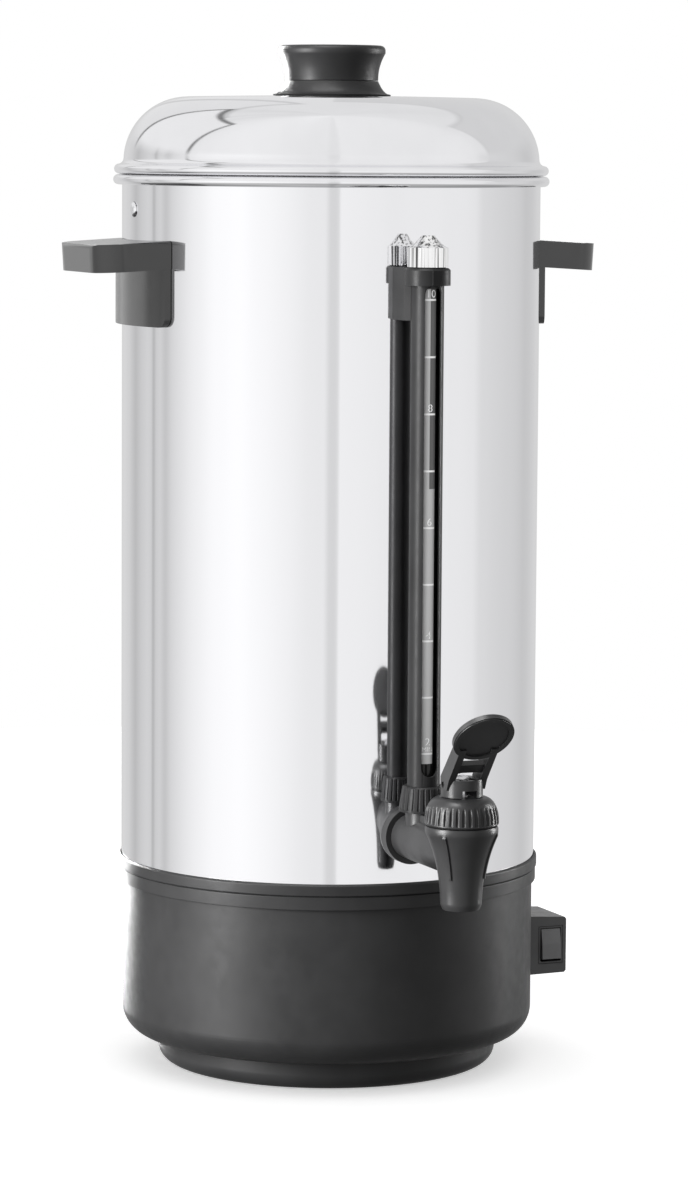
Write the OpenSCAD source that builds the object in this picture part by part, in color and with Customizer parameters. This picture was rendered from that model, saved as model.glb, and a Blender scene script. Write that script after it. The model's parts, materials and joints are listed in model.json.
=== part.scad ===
// Hot water urn: a steel tank on a moulded base, with a sight gauge and a lever tap at the front.
// Origin: on the tank's axis at the foot's flat underside. +Z is up and the tap faces -Y.

/* [Tank] */
// Outside diameter of the tank wall
tank_d = 215; // [180:1:260]
// Thickness of the tank wall and of its floor
tank_wall = 0.8; // [0.6:0.1:1.2]
// Height of the tank wall's lower edge above the table
tank_foot_z = 99; // [97:1:101]
// Height of the tank floor's wet side, which is the gauge's zero
tank_floor_z = 121; // [120:1:123]
// Height of the middle of the rolled rim
rim_z = 457.3; // [445:0.1:500]
// Radius of the rolled rim's bead
rim_bead_r = 2.6; // [2:0.1:3.2]

/* [Lid] */
// Height of the lid's flat crown above the middle of the rolled rim
lid_rise = 43.1; // [42:0.1:55]
// Radius of the lid's shoulder, from the crown to its side
lid_shoulder_r = 33; // [26:1:34]
// Thickness of the lid's sheet
lid_wall = 0.8; // [0.6:0.1:1.2]
// Radius of the bead round the lid's edge
lid_bead_r = 2.5; // [2:0.1:3]
// Depth of the locking collar below the rim
collar_depth = 24; // [20:1:30]
// Angle that the lid turns through to lock
lid_turn_angle = 25; // [15:1:40]
// Largest radius of the knob's grip
knob_r = 27.4; // [22:0.1:32]
// Height of the knob's grip above its skirt
knob_grip_h = 17.8; // [14:0.1:24]
// Height of the knob's skirt
knob_skirt_h = 7.9; // [6:0.1:10]

/* [Handles] */
// Width of each handle along the tank wall
handle_w = 75; // [60:1:90]
// Reach of each handle out from the tank wall
handle_reach = 31; // [26:1:40]
// Thickness of the handle's grip
handle_t = 14; // [12:0.5:18]
// Height of the handle's upper face at the tank wall
handle_z = 427; // [415:1:430]
// Height of the finger guard below the grip
guard_h = 29; // [24:1:40]
// Droop of the grip from level, in degrees
handle_droop = 3.5; // [0:0.5:6]

/* [Gauge] */
// Distance of the sight tube's axis from the tank wall
gauge_offset = 18.5; // [17:0.5:22]
// Outside diameter of the black guard tube
gauge_tube_d = 16.2; // [14:0.1:18]
// Width of the slot along the guard tube
gauge_slot_w = 8.5; // [6:0.5:9]
// Outside diameter of the glass tube
glass_d = 10; // [8:0.5:11]
// Height of the upper bracket's top face above the tank floor
bracket_rise = 295; // [280:1:310]
// Largest diameter of the knurled cap
gauge_cap_d = 20.2; // [18:0.1:22]

/* [Tap] */
// Height of the tap's horizontal axis above the tank floor
tap_rise = 12.3; // [12:0.1:16]
// Outside diameter of the tap's horizontal barrel
barrel_d = 23; // [20:0.5:26]
// Distance of the tap's upright axis from the tank wall
tap_reach = 65.5; // [62:0.5:75]
// Largest diameter of the bonnet
bonnet_d = 36.2; // [34:0.1:40]
// Outside diameter of the spout's tip
spout_tip_d = 20; // [18:0.1:21]
// Bore of the spout's outlet
spout_bore_d = 13; // [10:0.5:14]
// Length of the spout below the bonnet
spout_l = 41; // [36:1:48]

/* [Base] */
// Inset of the base's side wall from the tank's wall
base_inset = 0.8; // [0.5:0.1:1.5]
// Thickness of the base's moulded walls
base_wall = 2.5; // [2:0.1:3.5]
// Height of the base's underside above the table
base_floor_z = 15; // [12:1:18]
// Radius of the base's lower corner
base_corner_r = 14; // [10:1:18]
// Diameter of the foot
foot_d = 176; // [150:1:190]
// Height of the collar's top edge
collar_top_z = 109; // [108:1:112]
// Height of the collar's lower edge
collar_low_z = 96; // [94:1:97]

/* [Controls] */
// Height of the switch housing's middle
pod_z = 54; // [50:1:60]
// Height of the switch housing
pod_h = 31.5; // [28:0.5:38]
// Reach of the switch housing beyond the base's side wall
pod_reach = 23.6; // [21:0.1:29]
// Length of the switch housing along the base
pod_l = 34; // [30:1:44]
// Angle that the rocker swings through, in degrees
rocker_angle = 14; // [8:1:18]

/* [Hidden] */
$fn = 64;
// One overrun that every cut passes through a face by
over = 1;
// Running clearance of a shaft in its bore, on the radius
run_gap = 0.08;
// Gap that separates a moving piece from what it passes
move_gap = 0.5;
// Gap that separates seated curved faces
seat_gap = 0.1;

tank_r = tank_d / 2;
tank_ir = tank_r - tank_wall;
rim_ring_r = tank_r + rim_bead_r - rim_bead_r / 4;
tap_z = tank_floor_z + tap_rise;
tap_r = tank_r + tap_reach;
gauge_r = tank_r + gauge_offset;
bracket_z = tank_floor_z + bracket_rise;
base_r = tank_r - base_inset;

// Lid: sheet metal dome, locking collar and knob
lid_gap = 0.3;
lid_edge_inset = 0.35;
lid_ring_r = rim_ring_r - lid_edge_inset;
lid_bead_z = rim_z + rim_bead_r + lid_gap + lid_bead_r;
lid_side_r = lid_ring_r - lid_bead_r + lid_wall / 4;
crown_z = rim_z + lid_rise;
lid_flare_r = 3;
lid_flare_x = lid_side_r + lid_flare_r - lid_ring_r;
lid_flare_h = sqrt(pow(lid_flare_r + lid_bead_r, 2) - pow(lid_flare_x, 2));
crown_bulge = 0.8;
shoulder_r = lid_side_r - lid_shoulder_r;
shoulder_z = crown_z - crown_bulge - lid_shoulder_r;
collar_wall = 0.8;
collar_clear = 2.2;
collar_r = tank_ir - collar_clear;
collar_z = rim_z - collar_depth;
weld_flange_t = 1;

// Locking studs: rivets through the wall above each handle
stud_drop = 14.8;
stud_z = rim_z - stud_drop;
stud_r = 2.6;
stud_head_r = 4;
stud_head_h = 1.6;
stud_reach = 4.6;
slot_gap = 0.6;

knob_waist_share = 0.865;
knob_foot_share = 1.106;
knob_edge_r = 2.6;
knob_joint_r = knob_r * knob_waist_share;
knob_foot_r = knob_r * knob_foot_share;
knob_split_z = crown_z + knob_skirt_h;
knob_top_z = knob_split_z + knob_grip_h;
knob_screw_r = 2.5;
knob_head_r = 5;
knob_head_h = 3;
knob_washer_r = 12;
knob_washer_t = 1.2;
knob_washer_z = crown_z - lid_wall - knob_washer_t - seat_gap;
knob_thread_l = knob_grip_h * 0.55;

// Handles: their fixing screws and the finger guard
handle_root_gap = 0.3;
handle_in_r = tank_r + handle_root_gap;
handle_out_r = tank_r + handle_reach;
handle_corner_r = 18;
handle_edge_r = 2;
handle_skin = 3;
guard_t = 3;
guard_low_z = handle_z - handle_t - guard_h;
guard_corner_r = 5;
guard_inset = 0.4;
guard_w = handle_w - 2 * guard_inset;
handle_screw_r = 2;
handle_screw_head_r = 4.2;
handle_screw_head_h = 2.4;
handle_screw_y = handle_w * 0.28;
handle_screw_z = handle_z - handle_t * 0.55;
handle_boss_r = 4.5;
handle_boss_l = 14;
washer_t = 1;
washer_r = 5;

// An arc of points about a centre, from one angle to another
function arc(cx, cy, r, from, to, n = 12) =
    [for (i = [0:n]) let (a = from + (to - from) * i / n) [cx + r * cos(a), cy + r * sin(a)]];

// Points of a curve that runs from one point to another and bends by a power
function bend(a, b, power, n = 12) =
    [for (i = [0:n]) let (t = i / n) [a[0] + (b[0] - a[0]) * pow(t, power), a[1] + (b[1] - a[1]) * t]];

// A straight cylinder that runs out towards the front, from one radius to another
module front_rod(from, to, z, r) {
    translate([0, -from, z]) rotate([90, 0, 0]) cylinder(r = r, h = to - from);
}

// A straight cylinder that runs out along an azimuth counted from +X
module side_rod(azimuth, from, to, y, z, r) {
    rotate([0, 0, azimuth]) translate([from, y, z]) rotate([0, 90, 0]) cylinder(r = r, h = to - from);
}

// Copies of a piece at both handle sides
module both_sides() {
    for (azimuth = [0, 180]) rotate([0, 0, azimuth]) children();
}

function reversed(p) = [for (i = [len(p) - 1:-1:0]) p[i]];

// The lid's line up its shoulder and in over its crown, drawn in by a wall, from an angle of the shoulder
function lid_line(wall, from) = concat(
    arc(shoulder_r, shoulder_z, lid_shoulder_r - wall, from, 90, 24),
    [for (i = [1:10]) let (t = 1 - i / 10) [shoulder_r * t, crown_z - wall - crown_bulge * t * t]]);

// The lid's sheet, whose side runs down in a hollow curve to the bead
module lid_sheet() {
    meet = atan2(lid_flare_h, lid_flare_x);
    bead = [lid_ring_r, lid_bead_z];
    flare = arc(lid_flare_x, lid_flare_h, lid_flare_r, 174 + meet, 184, 8);
    polygon(concat(
        [[lid_side_r - lid_wall, lid_bead_z], bead],
        [bead + (lid_bead_r - seat_gap / 2) * [cos(meet), sin(meet)]],
        [for (point = flare) bead + point],
        lid_line(0, asin((lid_bead_z + lid_flare_h - shoulder_z) / lid_shoulder_r)),
        reversed(lid_line(lid_wall, 0))));
}

module lid_shell() {
    color("silver") difference() {
        rotate_extrude($fn = 180) {
            lid_sheet();
            translate([lid_ring_r, lid_bead_z]) circle(r = lid_bead_r, $fn = 48);
        }
        translate([0, 0, crown_z - lid_wall - over])
            cylinder(r = knob_screw_r + run_gap, h = lid_wall + 2 * over);
    }
}

// The J-shaped way of a locking stud through the collar
module stud_way() {
    half = stud_r + slot_gap;
    half_angle = asin(half / collar_r);
    translate([collar_r - collar_wall - over, -half, collar_z - over])
        cube([collar_wall + 2 * over, 2 * half, stud_z + half - collar_z + over]);
    translate([0, 0, stud_z - half]) linear_extrude(2 * half) polygon(concat(
        arc(0, 0, collar_r - collar_wall - over, half_angle, -lid_turn_angle - half_angle),
        arc(0, 0, collar_r + over, -lid_turn_angle - half_angle, half_angle)));
}

module lid_collar() {
    color("silver") difference() {
        rotate_extrude($fn = 180) {
            translate([collar_r - collar_wall, collar_z]) square([collar_wall, lid_bead_z - collar_z]);
            translate([collar_r - collar_wall, lid_bead_z - weld_flange_t / 2])
                square([lid_side_r - lid_wall - collar_r + collar_wall, weld_flange_t]);
        }
        both_sides() stud_way();
    }
}

module knob_skirt() {
    color("black") difference() {
        rotate_extrude($fn = 96) polygon(concat(
            [[0, crown_z], [knob_foot_r, crown_z]],
            bend([knob_foot_r, crown_z + knob_edge_r / 4], [knob_joint_r, knob_split_z], 0.45),
            [[0, knob_split_z]]));
        translate([0, 0, crown_z - over])
            cylinder(r = knob_screw_r + run_gap, h = knob_skirt_h + 2 * over);
    }
}

module knob_grip() {
    color("black") difference() {
        rotate_extrude($fn = 96) polygon(concat(
            [[0, knob_split_z]],
            bend([knob_joint_r, knob_split_z], [knob_r, knob_top_z - knob_edge_r * 1.5], 2.2),
            arc(knob_r - knob_edge_r, knob_top_z - knob_edge_r, knob_edge_r, 0, 90, 8),
            [[0, knob_top_z]]));
        translate([0, 0, knob_split_z - over])
            cylinder(r = knob_screw_r + run_gap, h = knob_thread_l + over);
    }
}

module knob_screw() {
    color("lightgray") {
        translate([0, 0, knob_washer_z - knob_head_h]) difference() {
            cylinder(r = knob_head_r, h = knob_head_h);
            translate([-knob_head_r - over, -knob_head_h / 5, -over])
                cube([2 * (knob_head_r + over), knob_head_h / 2.5, over + knob_head_h / 2.5]);
        }
        translate([0, 0, knob_washer_z])
            cylinder(r = knob_screw_r, h = knob_split_z + knob_thread_l * 0.9 - knob_washer_z);
    }
}

module knob_washer() {
    color("lightgray") translate([0, 0, knob_washer_z]) difference() {
        cylinder(r = knob_washer_r, h = knob_washer_t);
        translate([0, 0, -over]) cylinder(r = knob_screw_r + seat_gap, h = knob_washer_t + 2 * over);
    }
}

// Holes through the tank wall for what is fixed to it
module wall_holes() {
    front_rod(tank_ir - over * 4, tank_r + over, tap_z, shank_r + seat_gap);
    front_rod(tank_ir - over * 4, tank_r + over, bracket_screw_z, bracket_screw_r + seat_gap);
    both_sides() {
        side_rod(0, tank_ir - over * 4, tank_r + over, 0, stud_z, stud_r - slot_gap + seat_gap);
        for (side = [-1, 1])
            side_rod(0, tank_ir - over * 6, tank_r + over, side * handle_screw_y, handle_screw_z,
                handle_screw_r + seat_gap);
    }
}

module tank_shell() {
    color("gainsboro") difference() {
        rotate_extrude($fn = 180) {
            translate([tank_ir, tank_foot_z]) square([tank_wall, rim_z - tank_foot_z]);
            translate([rim_ring_r, rim_z]) circle(r = rim_bead_r, $fn = 48);
        }
        wall_holes();
    }
}

module tank_floor() {
    flange_h = floor_flange_h;
    color("silver") translate([0, 0, tank_floor_z - tank_wall]) union() {
        cylinder(r = tank_ir - seat_gap, h = tank_wall, $fn = 180);
        translate([0, 0, -flange_h]) difference() {
            cylinder(r = tank_ir - seat_gap, h = flange_h, $fn = 180);
            translate([0, 0, -over])
                cylinder(r = tank_ir - seat_gap - tank_wall, h = flange_h + over, $fn = 180);
        }
    }
}

module lock_studs() {
    color("lightgray") both_sides() {
        side_rod(0, tank_ir - stud_reach, tank_ir - seat_gap, 0, stud_z, stud_r);
        side_rod(0, tank_ir - stud_reach, tank_r + stud_head_h / 2, 0, stud_z, stud_r - slot_gap);
        translate([tank_r + seat_gap / 2, 0, stud_z]) rotate([0, 90, 0]) rotate_extrude()
            polygon(concat([[0, 0], [stud_head_r, 0]],
                arc(0, 0, stud_head_r, 0, 90, 8) * [[1, 0], [0, stud_head_h * 1.1 / stud_head_r]]));
    }
}

// A flat shape of a width and height, centred, with its two upper corners rounded
module round_top(w, h, r) {
    translate([-w / 2, 0]) square([w, h - r]);
    translate([r - w / 2, 0]) square([w - 2 * r, h]);
    for (side = [-1, 1]) translate([side * (w / 2 - r), h - r]) circle(r = r);
}

// One handle at the +X side: a drooping grip over a finger guard that follows the wall
module grip_slab(inset, drop) {
    start = tank_r * 0.85;
    reach = handle_out_r - inset - start;
    width = handle_w - 2 * inset;
    height = handle_t - inset + drop;
    translate([tank_r, 0, handle_z]) rotate([0, handle_droop, 0])
        translate([start - tank_r, 0, -handle_t - drop]) intersection() {
            rotate([0, 0, -90]) linear_extrude(height) round_top(width, reach, handle_corner_r - inset);
            rotate([90, 0, 90]) linear_extrude(reach) round_top(width, height, handle_edge_r);
            translate([0, width / 2, 0]) rotate([90, 0, 0]) linear_extrude(width)
                round_top(2 * reach, height, handle_edge_r);
        }
}

module finger_guard() {
    top = handle_z - handle_t / 2;
    intersection() {
        translate([0, 0, guard_low_z]) difference() {
            cylinder(r = handle_in_r + guard_t, h = top - guard_low_z, $fn = 180);
            translate([0, 0, -over]) cylinder(r = handle_in_r, h = top - guard_low_z + 2 * over, $fn = 180);
        }
        translate([0, 0, guard_low_z]) rotate([90, 0, 90]) linear_extrude(handle_out_r) union() {
            translate([-guard_w / 2, guard_corner_r]) square([guard_w, top - guard_low_z]);
            translate([guard_corner_r - guard_w / 2, 0])
                square([guard_w - 2 * guard_corner_r, top - guard_low_z]);
            for (y = [-1, 1])
                translate([y * (guard_w / 2 - guard_corner_r), guard_corner_r]) circle(r = guard_corner_r);
        }
    }
}

module handle() {
    color("black") difference() {
        union() {
            difference() {
                grip_slab(0, 0);
                difference() {
                    grip_slab(handle_skin, over);
                    for (side = [-1, 1])
                        side_rod(0, tank_r * 0.9, handle_in_r + handle_boss_l, side * handle_screw_y,
                            handle_screw_z, handle_boss_r);
                    translate([0, 0, guard_low_z])
                        cylinder(r = handle_in_r + guard_t + over, h = handle_z, $fn = 180);
                }
            }
            finger_guard();
        }
        translate([0, 0, guard_low_z - over])
            cylinder(r = handle_in_r, h = handle_z - guard_low_z + handle_t, $fn = 180);
        for (side = [-1, 1])
            side_rod(0, tank_r * 0.9, handle_in_r + handle_boss_l - handle_skin, side * handle_screw_y,
                handle_screw_z, handle_screw_r + run_gap);
    }
}

module handle_right() {
    handle();
}

module handle_left() {
    rotate([0, 0, 180]) handle();
}

// Radius at which the flat washers stand clear of the curved wall
function flat_seat(r, y, half) = sqrt(r * r - pow(abs(y) + half, 2));

module handle_screws() {
    seat = flat_seat(tank_ir, handle_screw_y, washer_r) - seat_gap - washer_t;
    color("lightgray") both_sides() for (side = [-1, 1]) {
        side_rod(0, seat, handle_in_r + handle_boss_l - handle_skin * 2, side * handle_screw_y,
            handle_screw_z, handle_screw_r);
        side_rod(0, seat - handle_screw_head_h, seat, side * handle_screw_y, handle_screw_z,
            handle_screw_head_r);
    }
}

module handle_washers() {
    seat = flat_seat(tank_ir, handle_screw_y, washer_r) - seat_gap - washer_t;
    color("darkred") both_sides() for (side = [-1, 1]) difference() {
        side_rod(0, seat, seat + washer_t, side * handle_screw_y, handle_screw_z, washer_r);
        side_rod(0, seat - over, seat + washer_t + over, side * handle_screw_y, handle_screw_z,
            handle_screw_r + seat_gap);
    }
}

// Sight gauge: heights follow the tap's tee and the upper bracket
gauge_tube_r = gauge_tube_d / 2;
guard_tube_wall = 1.3;
guard_tube_ir = gauge_tube_r - guard_tube_wall;
glass_r = glass_d / 2;
glass_wall = 1.1;
tee_neck_r = 9;
tee_neck_h = 15.5;
tee_top_z = tap_z + tee_neck_h;
gauge_nut_h = 12.7;
gauge_nut_top_z = tee_top_z + gauge_nut_h - 0.6 * guard_tube_wall;
gauge_nut_top_r = 10.6;
gauge_nut_low_r = 12.2;
gauge_nut_flutes = 26;
slot_low_gap = 5;
slot_top_gap = 8.7;
slot_low_z = gauge_nut_top_z + slot_low_gap;
slot_top_z = bracket_z - slot_top_gap;
bracket_collar_h = 8.5;
bracket_collar_r = 11.2;
bracket_block_h = 25.7;
bracket_block_w = 21;
bracket_chamfer = 5;
bracket_well_h = 6;
bracket_screw_r = 2.5;
bracket_screw_z = bracket_z - bracket_block_h * 0.62;
seal_h = 4;
cap_r = gauge_cap_d / 2;
cap_knurl_h = 9.5;
cap_cone_h = 5.9;
cap_tip_r = 3.2;
cap_knurls = 36;
cap_stem_h = 5.2;
cap_stem_inset = 1;
cap_stem_r = guard_tube_ir - cap_stem_inset;
vent_r = 1;

module gauge_guard() {
    half = gauge_slot_w / 2;
    low = tee_top_z + seat_gap;
    top = bracket_z - bracket_well_h - seat_gap;
    color("black") translate([0, -gauge_r, 0]) difference() {
        translate([0, 0, low]) cylinder(r = gauge_tube_r, h = top - low, $fn = 72);
        translate([0, 0, low - over]) cylinder(r = guard_tube_ir, h = top - low + 2 * over, $fn = 72);
        translate([-half, -gauge_tube_r - over, slot_low_z + half])
            cube([gauge_slot_w, gauge_tube_r, slot_top_z - slot_low_z - gauge_slot_w]);
        for (z = [slot_low_z + half, slot_top_z - half])
            translate([0, 0, z]) rotate([90, 0, 0]) cylinder(r = half, h = gauge_tube_r + over);
    }
}

module gauge_glass() {
    low = tee_top_z + seal_h / 4;
    top = bracket_z - bracket_well_h / 2 - seal_h / 2;
    color("lightblue", 0.5) translate([0, -gauge_r, low]) difference() {
        cylinder(r = glass_r, h = top - low, $fn = 72);
        translate([0, 0, -over]) cylinder(r = glass_r - glass_wall, h = top - low + 2 * over, $fn = 72);
    }
}

// The glass tube's lower and upper seals
module gauge_seals() {
    low = tee_top_z + seat_gap;
    top = bracket_z - bracket_well_h - seal_h;
    color("dimgray") for (z = [low, top])
        translate([0, -gauge_r, z]) difference() {
            cylinder(r = guard_tube_ir - seat_gap, h = seal_h - 2 * seat_gap);
            translate([0, 0, -over]) cylinder(r = glass_r + seat_gap / 2, h = seal_h + 2 * over);
        }
}

// Collar nut that clamps the gauge to the tee: a tapered, fluted ring
module gauge_nut() {
    depth = 0.8;
    inner = gauge_tube_r + seat_gap;
    color("black") translate([0, -gauge_r, gauge_nut_top_z - gauge_nut_h]) difference() {
        rotate_extrude($fn = 104) polygon([
            [inner, 0], [gauge_nut_low_r, 0], [gauge_nut_low_r, depth * 1.5],
            [gauge_nut_top_r, gauge_nut_h - depth],
                [gauge_nut_top_r - depth, gauge_nut_h], [inner, gauge_nut_h]]);
        translate([0, 0, -over])
            cylinder(r = tee_neck_r + seat_gap, h = over + tee_top_z - gauge_nut_top_z + gauge_nut_h);
        for (i = [0:gauge_nut_flutes - 1]) rotate([0, 0, i * 360 / gauge_nut_flutes])
            translate([gauge_nut_low_r + depth * 0.35, 0, depth * 1.6])
                rotate([0, atan((gauge_nut_top_r - gauge_nut_low_r) / gauge_nut_h), 0])
                    cylinder(r = depth, h = gauge_nut_h + over, $fn = 16);
    }
}

// Upper bracket: a round collar round the tube and a chamfered block back to the wall
module gauge_bracket() {
    half = bracket_block_w / 2;
    back = tank_r - rim_bead_r * 3;
    front = gauge_r;
    color("black") difference() {
        union() {
            translate([0, 0, bracket_z - bracket_block_h]) linear_extrude(bracket_block_h) polygon([
                [-half, -back], [-half, bracket_chamfer - front], [bracket_chamfer - half, -front],
                [half - bracket_chamfer, -front], [half, bracket_chamfer - front], [half, -back]]);
            translate([0, -gauge_r, bracket_z - bracket_collar_h])
                cylinder(r = bracket_collar_r, h = bracket_collar_h - handle_edge_r / 2, $fn = 96);
            translate([0, -gauge_r, bracket_z - handle_edge_r / 2])
                cylinder(r1 = bracket_collar_r, r2 = bracket_collar_r - handle_edge_r / 2,
                    h = handle_edge_r / 2, $fn = 96);
            translate([-gauge_slot_w / 4, -gauge_r - bracket_collar_r - run_gap * 5, 0])
                translate([0, 0, bracket_z - bracket_collar_h])
                cube([gauge_slot_w / 2, bracket_collar_r, bracket_collar_h - handle_edge_r / 2]);
        }
        translate([0, 0, bracket_z - bracket_block_h - over])
            cylinder(r = tank_r + seat_gap, h = bracket_block_h + 2 * over, $fn = 180);
        translate([0, -gauge_r, bracket_z - bracket_block_h - over])
            cylinder(r = gauge_tube_r + seat_gap, h = bracket_block_h + over - bracket_well_h);
        translate([0, -gauge_r, bracket_z - bracket_block_h])
            cylinder(r = cap_stem_r + run_gap, h = bracket_block_h + over);
        front_rod(tank_r - over, tank_r + bracket_screw_l, bracket_screw_z, bracket_screw_r + run_gap);
    }
}

bracket_screw_l = gauge_offset - gauge_tube_r - guard_tube_wall;

module gauge_bracket_screw() {
    color("lightgray") {
        front_rod(tank_ir - washer_t - bracket_screw_r, tank_r + bracket_screw_l - guard_tube_wall / 2,
            bracket_screw_z, bracket_screw_r);
        front_rod(tank_ir - washer_t - bracket_screw_r, tank_ir - washer_t / 2, bracket_screw_z,
            washer_r * 0.9);
    }
}

module gauge_cap() {
    color("silver") translate([0, -gauge_r, bracket_z + cap_seal_t + seat_gap]) difference() {
        union() {
            difference() {
                cylinder(r = cap_r, h = cap_knurl_h, $fn = 144);
                for (i = [0:cap_knurls - 1]) rotate([0, 0, i * 360 / cap_knurls])
                    translate([cap_r + cap_groove_r * 0.4, 0, -over])
                        cylinder(r = cap_groove_r, h = cap_knurl_h + over - cap_groove_r / 2, $fn = 16);
            }
            translate([0, 0, cap_knurl_h]) rotate_extrude($fn = 96) polygon(concat(
                [[0, 0]], bend([cap_r - cap_groove_r, 0], [cap_tip_r, cap_cone_h], 0.75, 8),
                    [[0, cap_cone_h]]));
            translate([0, 0, -cap_stem_h]) cylinder(r = cap_stem_r, h = cap_stem_h + over);
        }
        translate([0, 0, -cap_stem_h - over]) cylinder(r = vent_r, h = cap_stem_h + cap_knurl_h);
    }
}

cap_groove_r = 0.45;
cap_seal_t = 0.4;

module gauge_cap_seal() {
    color("dimgray") translate([0, -gauge_r, bracket_z + seat_gap / 2]) difference() {
        cylinder(r = cap_r - cap_groove_r * 3, h = cap_seal_t);
        translate([0, 0, -over]) cylinder(r = cap_stem_r + run_gap, h = cap_seal_t + 2 * over);
    }
}

// Tap: a barrel through the tank wall, a tee for the gauge and a spout with a lever valve
shank_r = 8;
shank_l = 13;
barrel_r = barrel_d / 2;
flange_lip = 2.8;
flange_r = barrel_r + flange_lip;
flange_t = 5;
nut_floor_gap = 0.4;
nut_half_w = tap_rise - nut_floor_gap;
nut_t = 6;
inner_gasket_t = 2.4;
way_r = 5.5;
gauge_way_r = 3.6;
spout_rise = 14.2;
spout_top_z = tap_z + spout_rise;
spout_low_z = spout_top_z - spout_l;
spout_inset = 0.2;
spout_top_r = bonnet_d / 2 - spout_inset;
spout_tip_r = spout_tip_d / 2;
spout_bore_r = spout_bore_d / 2;
spout_band_h = 3;
chamber_r = spout_tip_r;
seat_drop = 6.3;
seat_z = tap_z - seat_drop;
rib_t = 1.6;
rib_angle = 52;
rib_share = 0.62;
tip_edge = 1;

bonnet_gap = 0.3;
bonnet_z = spout_top_z + bonnet_gap;
bonnet_r = bonnet_d / 2;
bonnet_h = 13.9;
bonnet_top_r = 10.7;
bonnet_side_h = 2.2;
bonnet_top_z = bonnet_z + bonnet_h;
bonnet_flutes = 36;
flute_r = 0.95;
flute_lean = -8;
bonnet_wall = 3;
spring_well_r = 7.4;
gasket_t = 1.2;

stem_r = 3;
stem_head_r = 4;
stem_foot_r = chamber_r * 0.8;
stem_foot_t = 1.6;
cup_clear = 0.6;
cup_r = chamber_r - cup_clear;
cup_h = 4;
cup_lip_h = 1.2;

spring_wire_r = 0.6;
spring_r = 5.2;
spring_turns = 5;
spring_steps = 12;
spring_sides = 6;

lever_gap = 0.4;
lever_z = bonnet_top_z + lever_gap;
pin_rise = 5.9;
pin_z = lever_z + pin_rise;
pin_r = 1.5;
hub_r = 10.2;
hub_h = 8.6;
hub_slot_w = 2 * (stem_head_r + move_gap);
hub_slot_l = hub_r * 1.62;
notch_w = 7.6;
notch_h = 3.5;
arm_lean = 42;
arm_t = 3.6;
arm_w = 7;
arm_l = 24;
paddle_r = 15.3;
paddle_t = 3.4;
paddle_rim = 2.6;
paddle_dish = 1;
paddle_reach = 35.8;
web_t = 3;
web_share = 0.28;

module tap_shank() {
    front_rod(tank_ir - shank_l, tank_r + flange_t * 0.6, tap_z, shank_r);
}

// Radius of the spout's outside at a share of its height, from the tip upward
function spout_side(t) = spout_tip_r + (spout_top_r - spout_tip_r) * (0.16 * t + 0.84 * pow(t, 2.6));

module spout_outside(grow) {
    body_h = spout_l - spout_band_h;
    rotate_extrude($fn = 96) polygon(concat(
        [[0, spout_low_z], [spout_tip_r - tip_edge + grow, spout_low_z]],
        [for (i = [1:16]) let (t = i / 16) [spout_side(t) + grow, spout_low_z + body_h * t]],
        [[spout_top_r + grow, spout_top_z - spout_band_h / 3], [spout_top_r - tip_edge / 2, spout_top_z],
            [0, spout_top_z]]));
}

module tap_body() {
    color("black") difference() {
        union() {
            tap_shank();
            front_rod(tank_r + flange_t * 0.6, tap_r, tap_z, barrel_r);
            translate([0, -gauge_r, tap_z]) cylinder(r = tee_neck_r, h = tee_neck_h);
            translate([-tee_neck_r * 0.55, -tap_r + spout_tip_r, tap_z])
                cube([tee_neck_r * 1.1, tap_r - spout_tip_r - gauge_r, tee_neck_h * 0.9]);
            translate([0, -tap_r, 0]) {
                spout_outside(0);
                intersection() {
                    spout_outside(rib_t / 2);
                    for (side = [-1, 1]) rotate([0, 0, side * rib_angle - 90])
                        translate([0, -rib_t / 2, spout_low_z + spout_l * (1 - rib_share)])
                            cube([bonnet_r, rib_t, spout_l * rib_share - spout_band_h]);
                }
            }
        }
        front_rod(tank_ir - shank_l - over, tap_r, tap_z, way_r);
        translate([0, -gauge_r, tap_z]) cylinder(r = gauge_way_r, h = tee_neck_h + over);
        translate([0, -tap_r, seat_z]) cylinder(r = chamber_r, h = spout_top_z - seat_z + over);
        translate([0, -tap_r, spout_low_z - over])
            cylinder(r = spout_bore_r, h = seat_z - spout_low_z + 2 * over);
    }
}

module tap_flange() {
    color("black") difference() {
        front_rod(tank_r - over, tank_r + flange_t, tap_z, flange_r);
        translate([0, 0, tap_z - flange_r - over])
            cylinder(r = tank_r + seat_gap, h = 2 * (flange_r + over), $fn = 180);
        front_rod(tank_r - 2 * over, tank_r + flange_t * 0.6 + seat_gap, tap_z, shank_r + seat_gap);
        front_rod(tank_r + flange_t * 0.6, tank_r + flange_t + over, tap_z, barrel_r + seat_gap);
    }
}

module tap_gasket() {
    color("dimgray") difference() {
        intersection() {
            front_rod(tank_ir - inner_gasket_t, tank_ir + over, tap_z, nut_half_w - seat_gap);
            translate([0, 0, tap_z - nut_half_w])
                cylinder(r = tank_ir - seat_gap, h = 2 * nut_half_w, $fn = 180);
        }
        front_rod(tank_ir - inner_gasket_t - over, tank_ir + over, tap_z, shank_r + seat_gap);
    }
}

module tap_lock_nut() {
    color("lightgray") difference() {
        translate([0, inner_gasket_t + nut_t + seat_gap - tank_ir, tap_z]) rotate([90, 0, 0])
            cylinder(r = nut_half_w / cos(30), h = nut_t, $fn = 6);
        front_rod(tank_ir - shank_l - over, tank_ir, tap_z, shank_r + seat_gap);
    }
}

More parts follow.
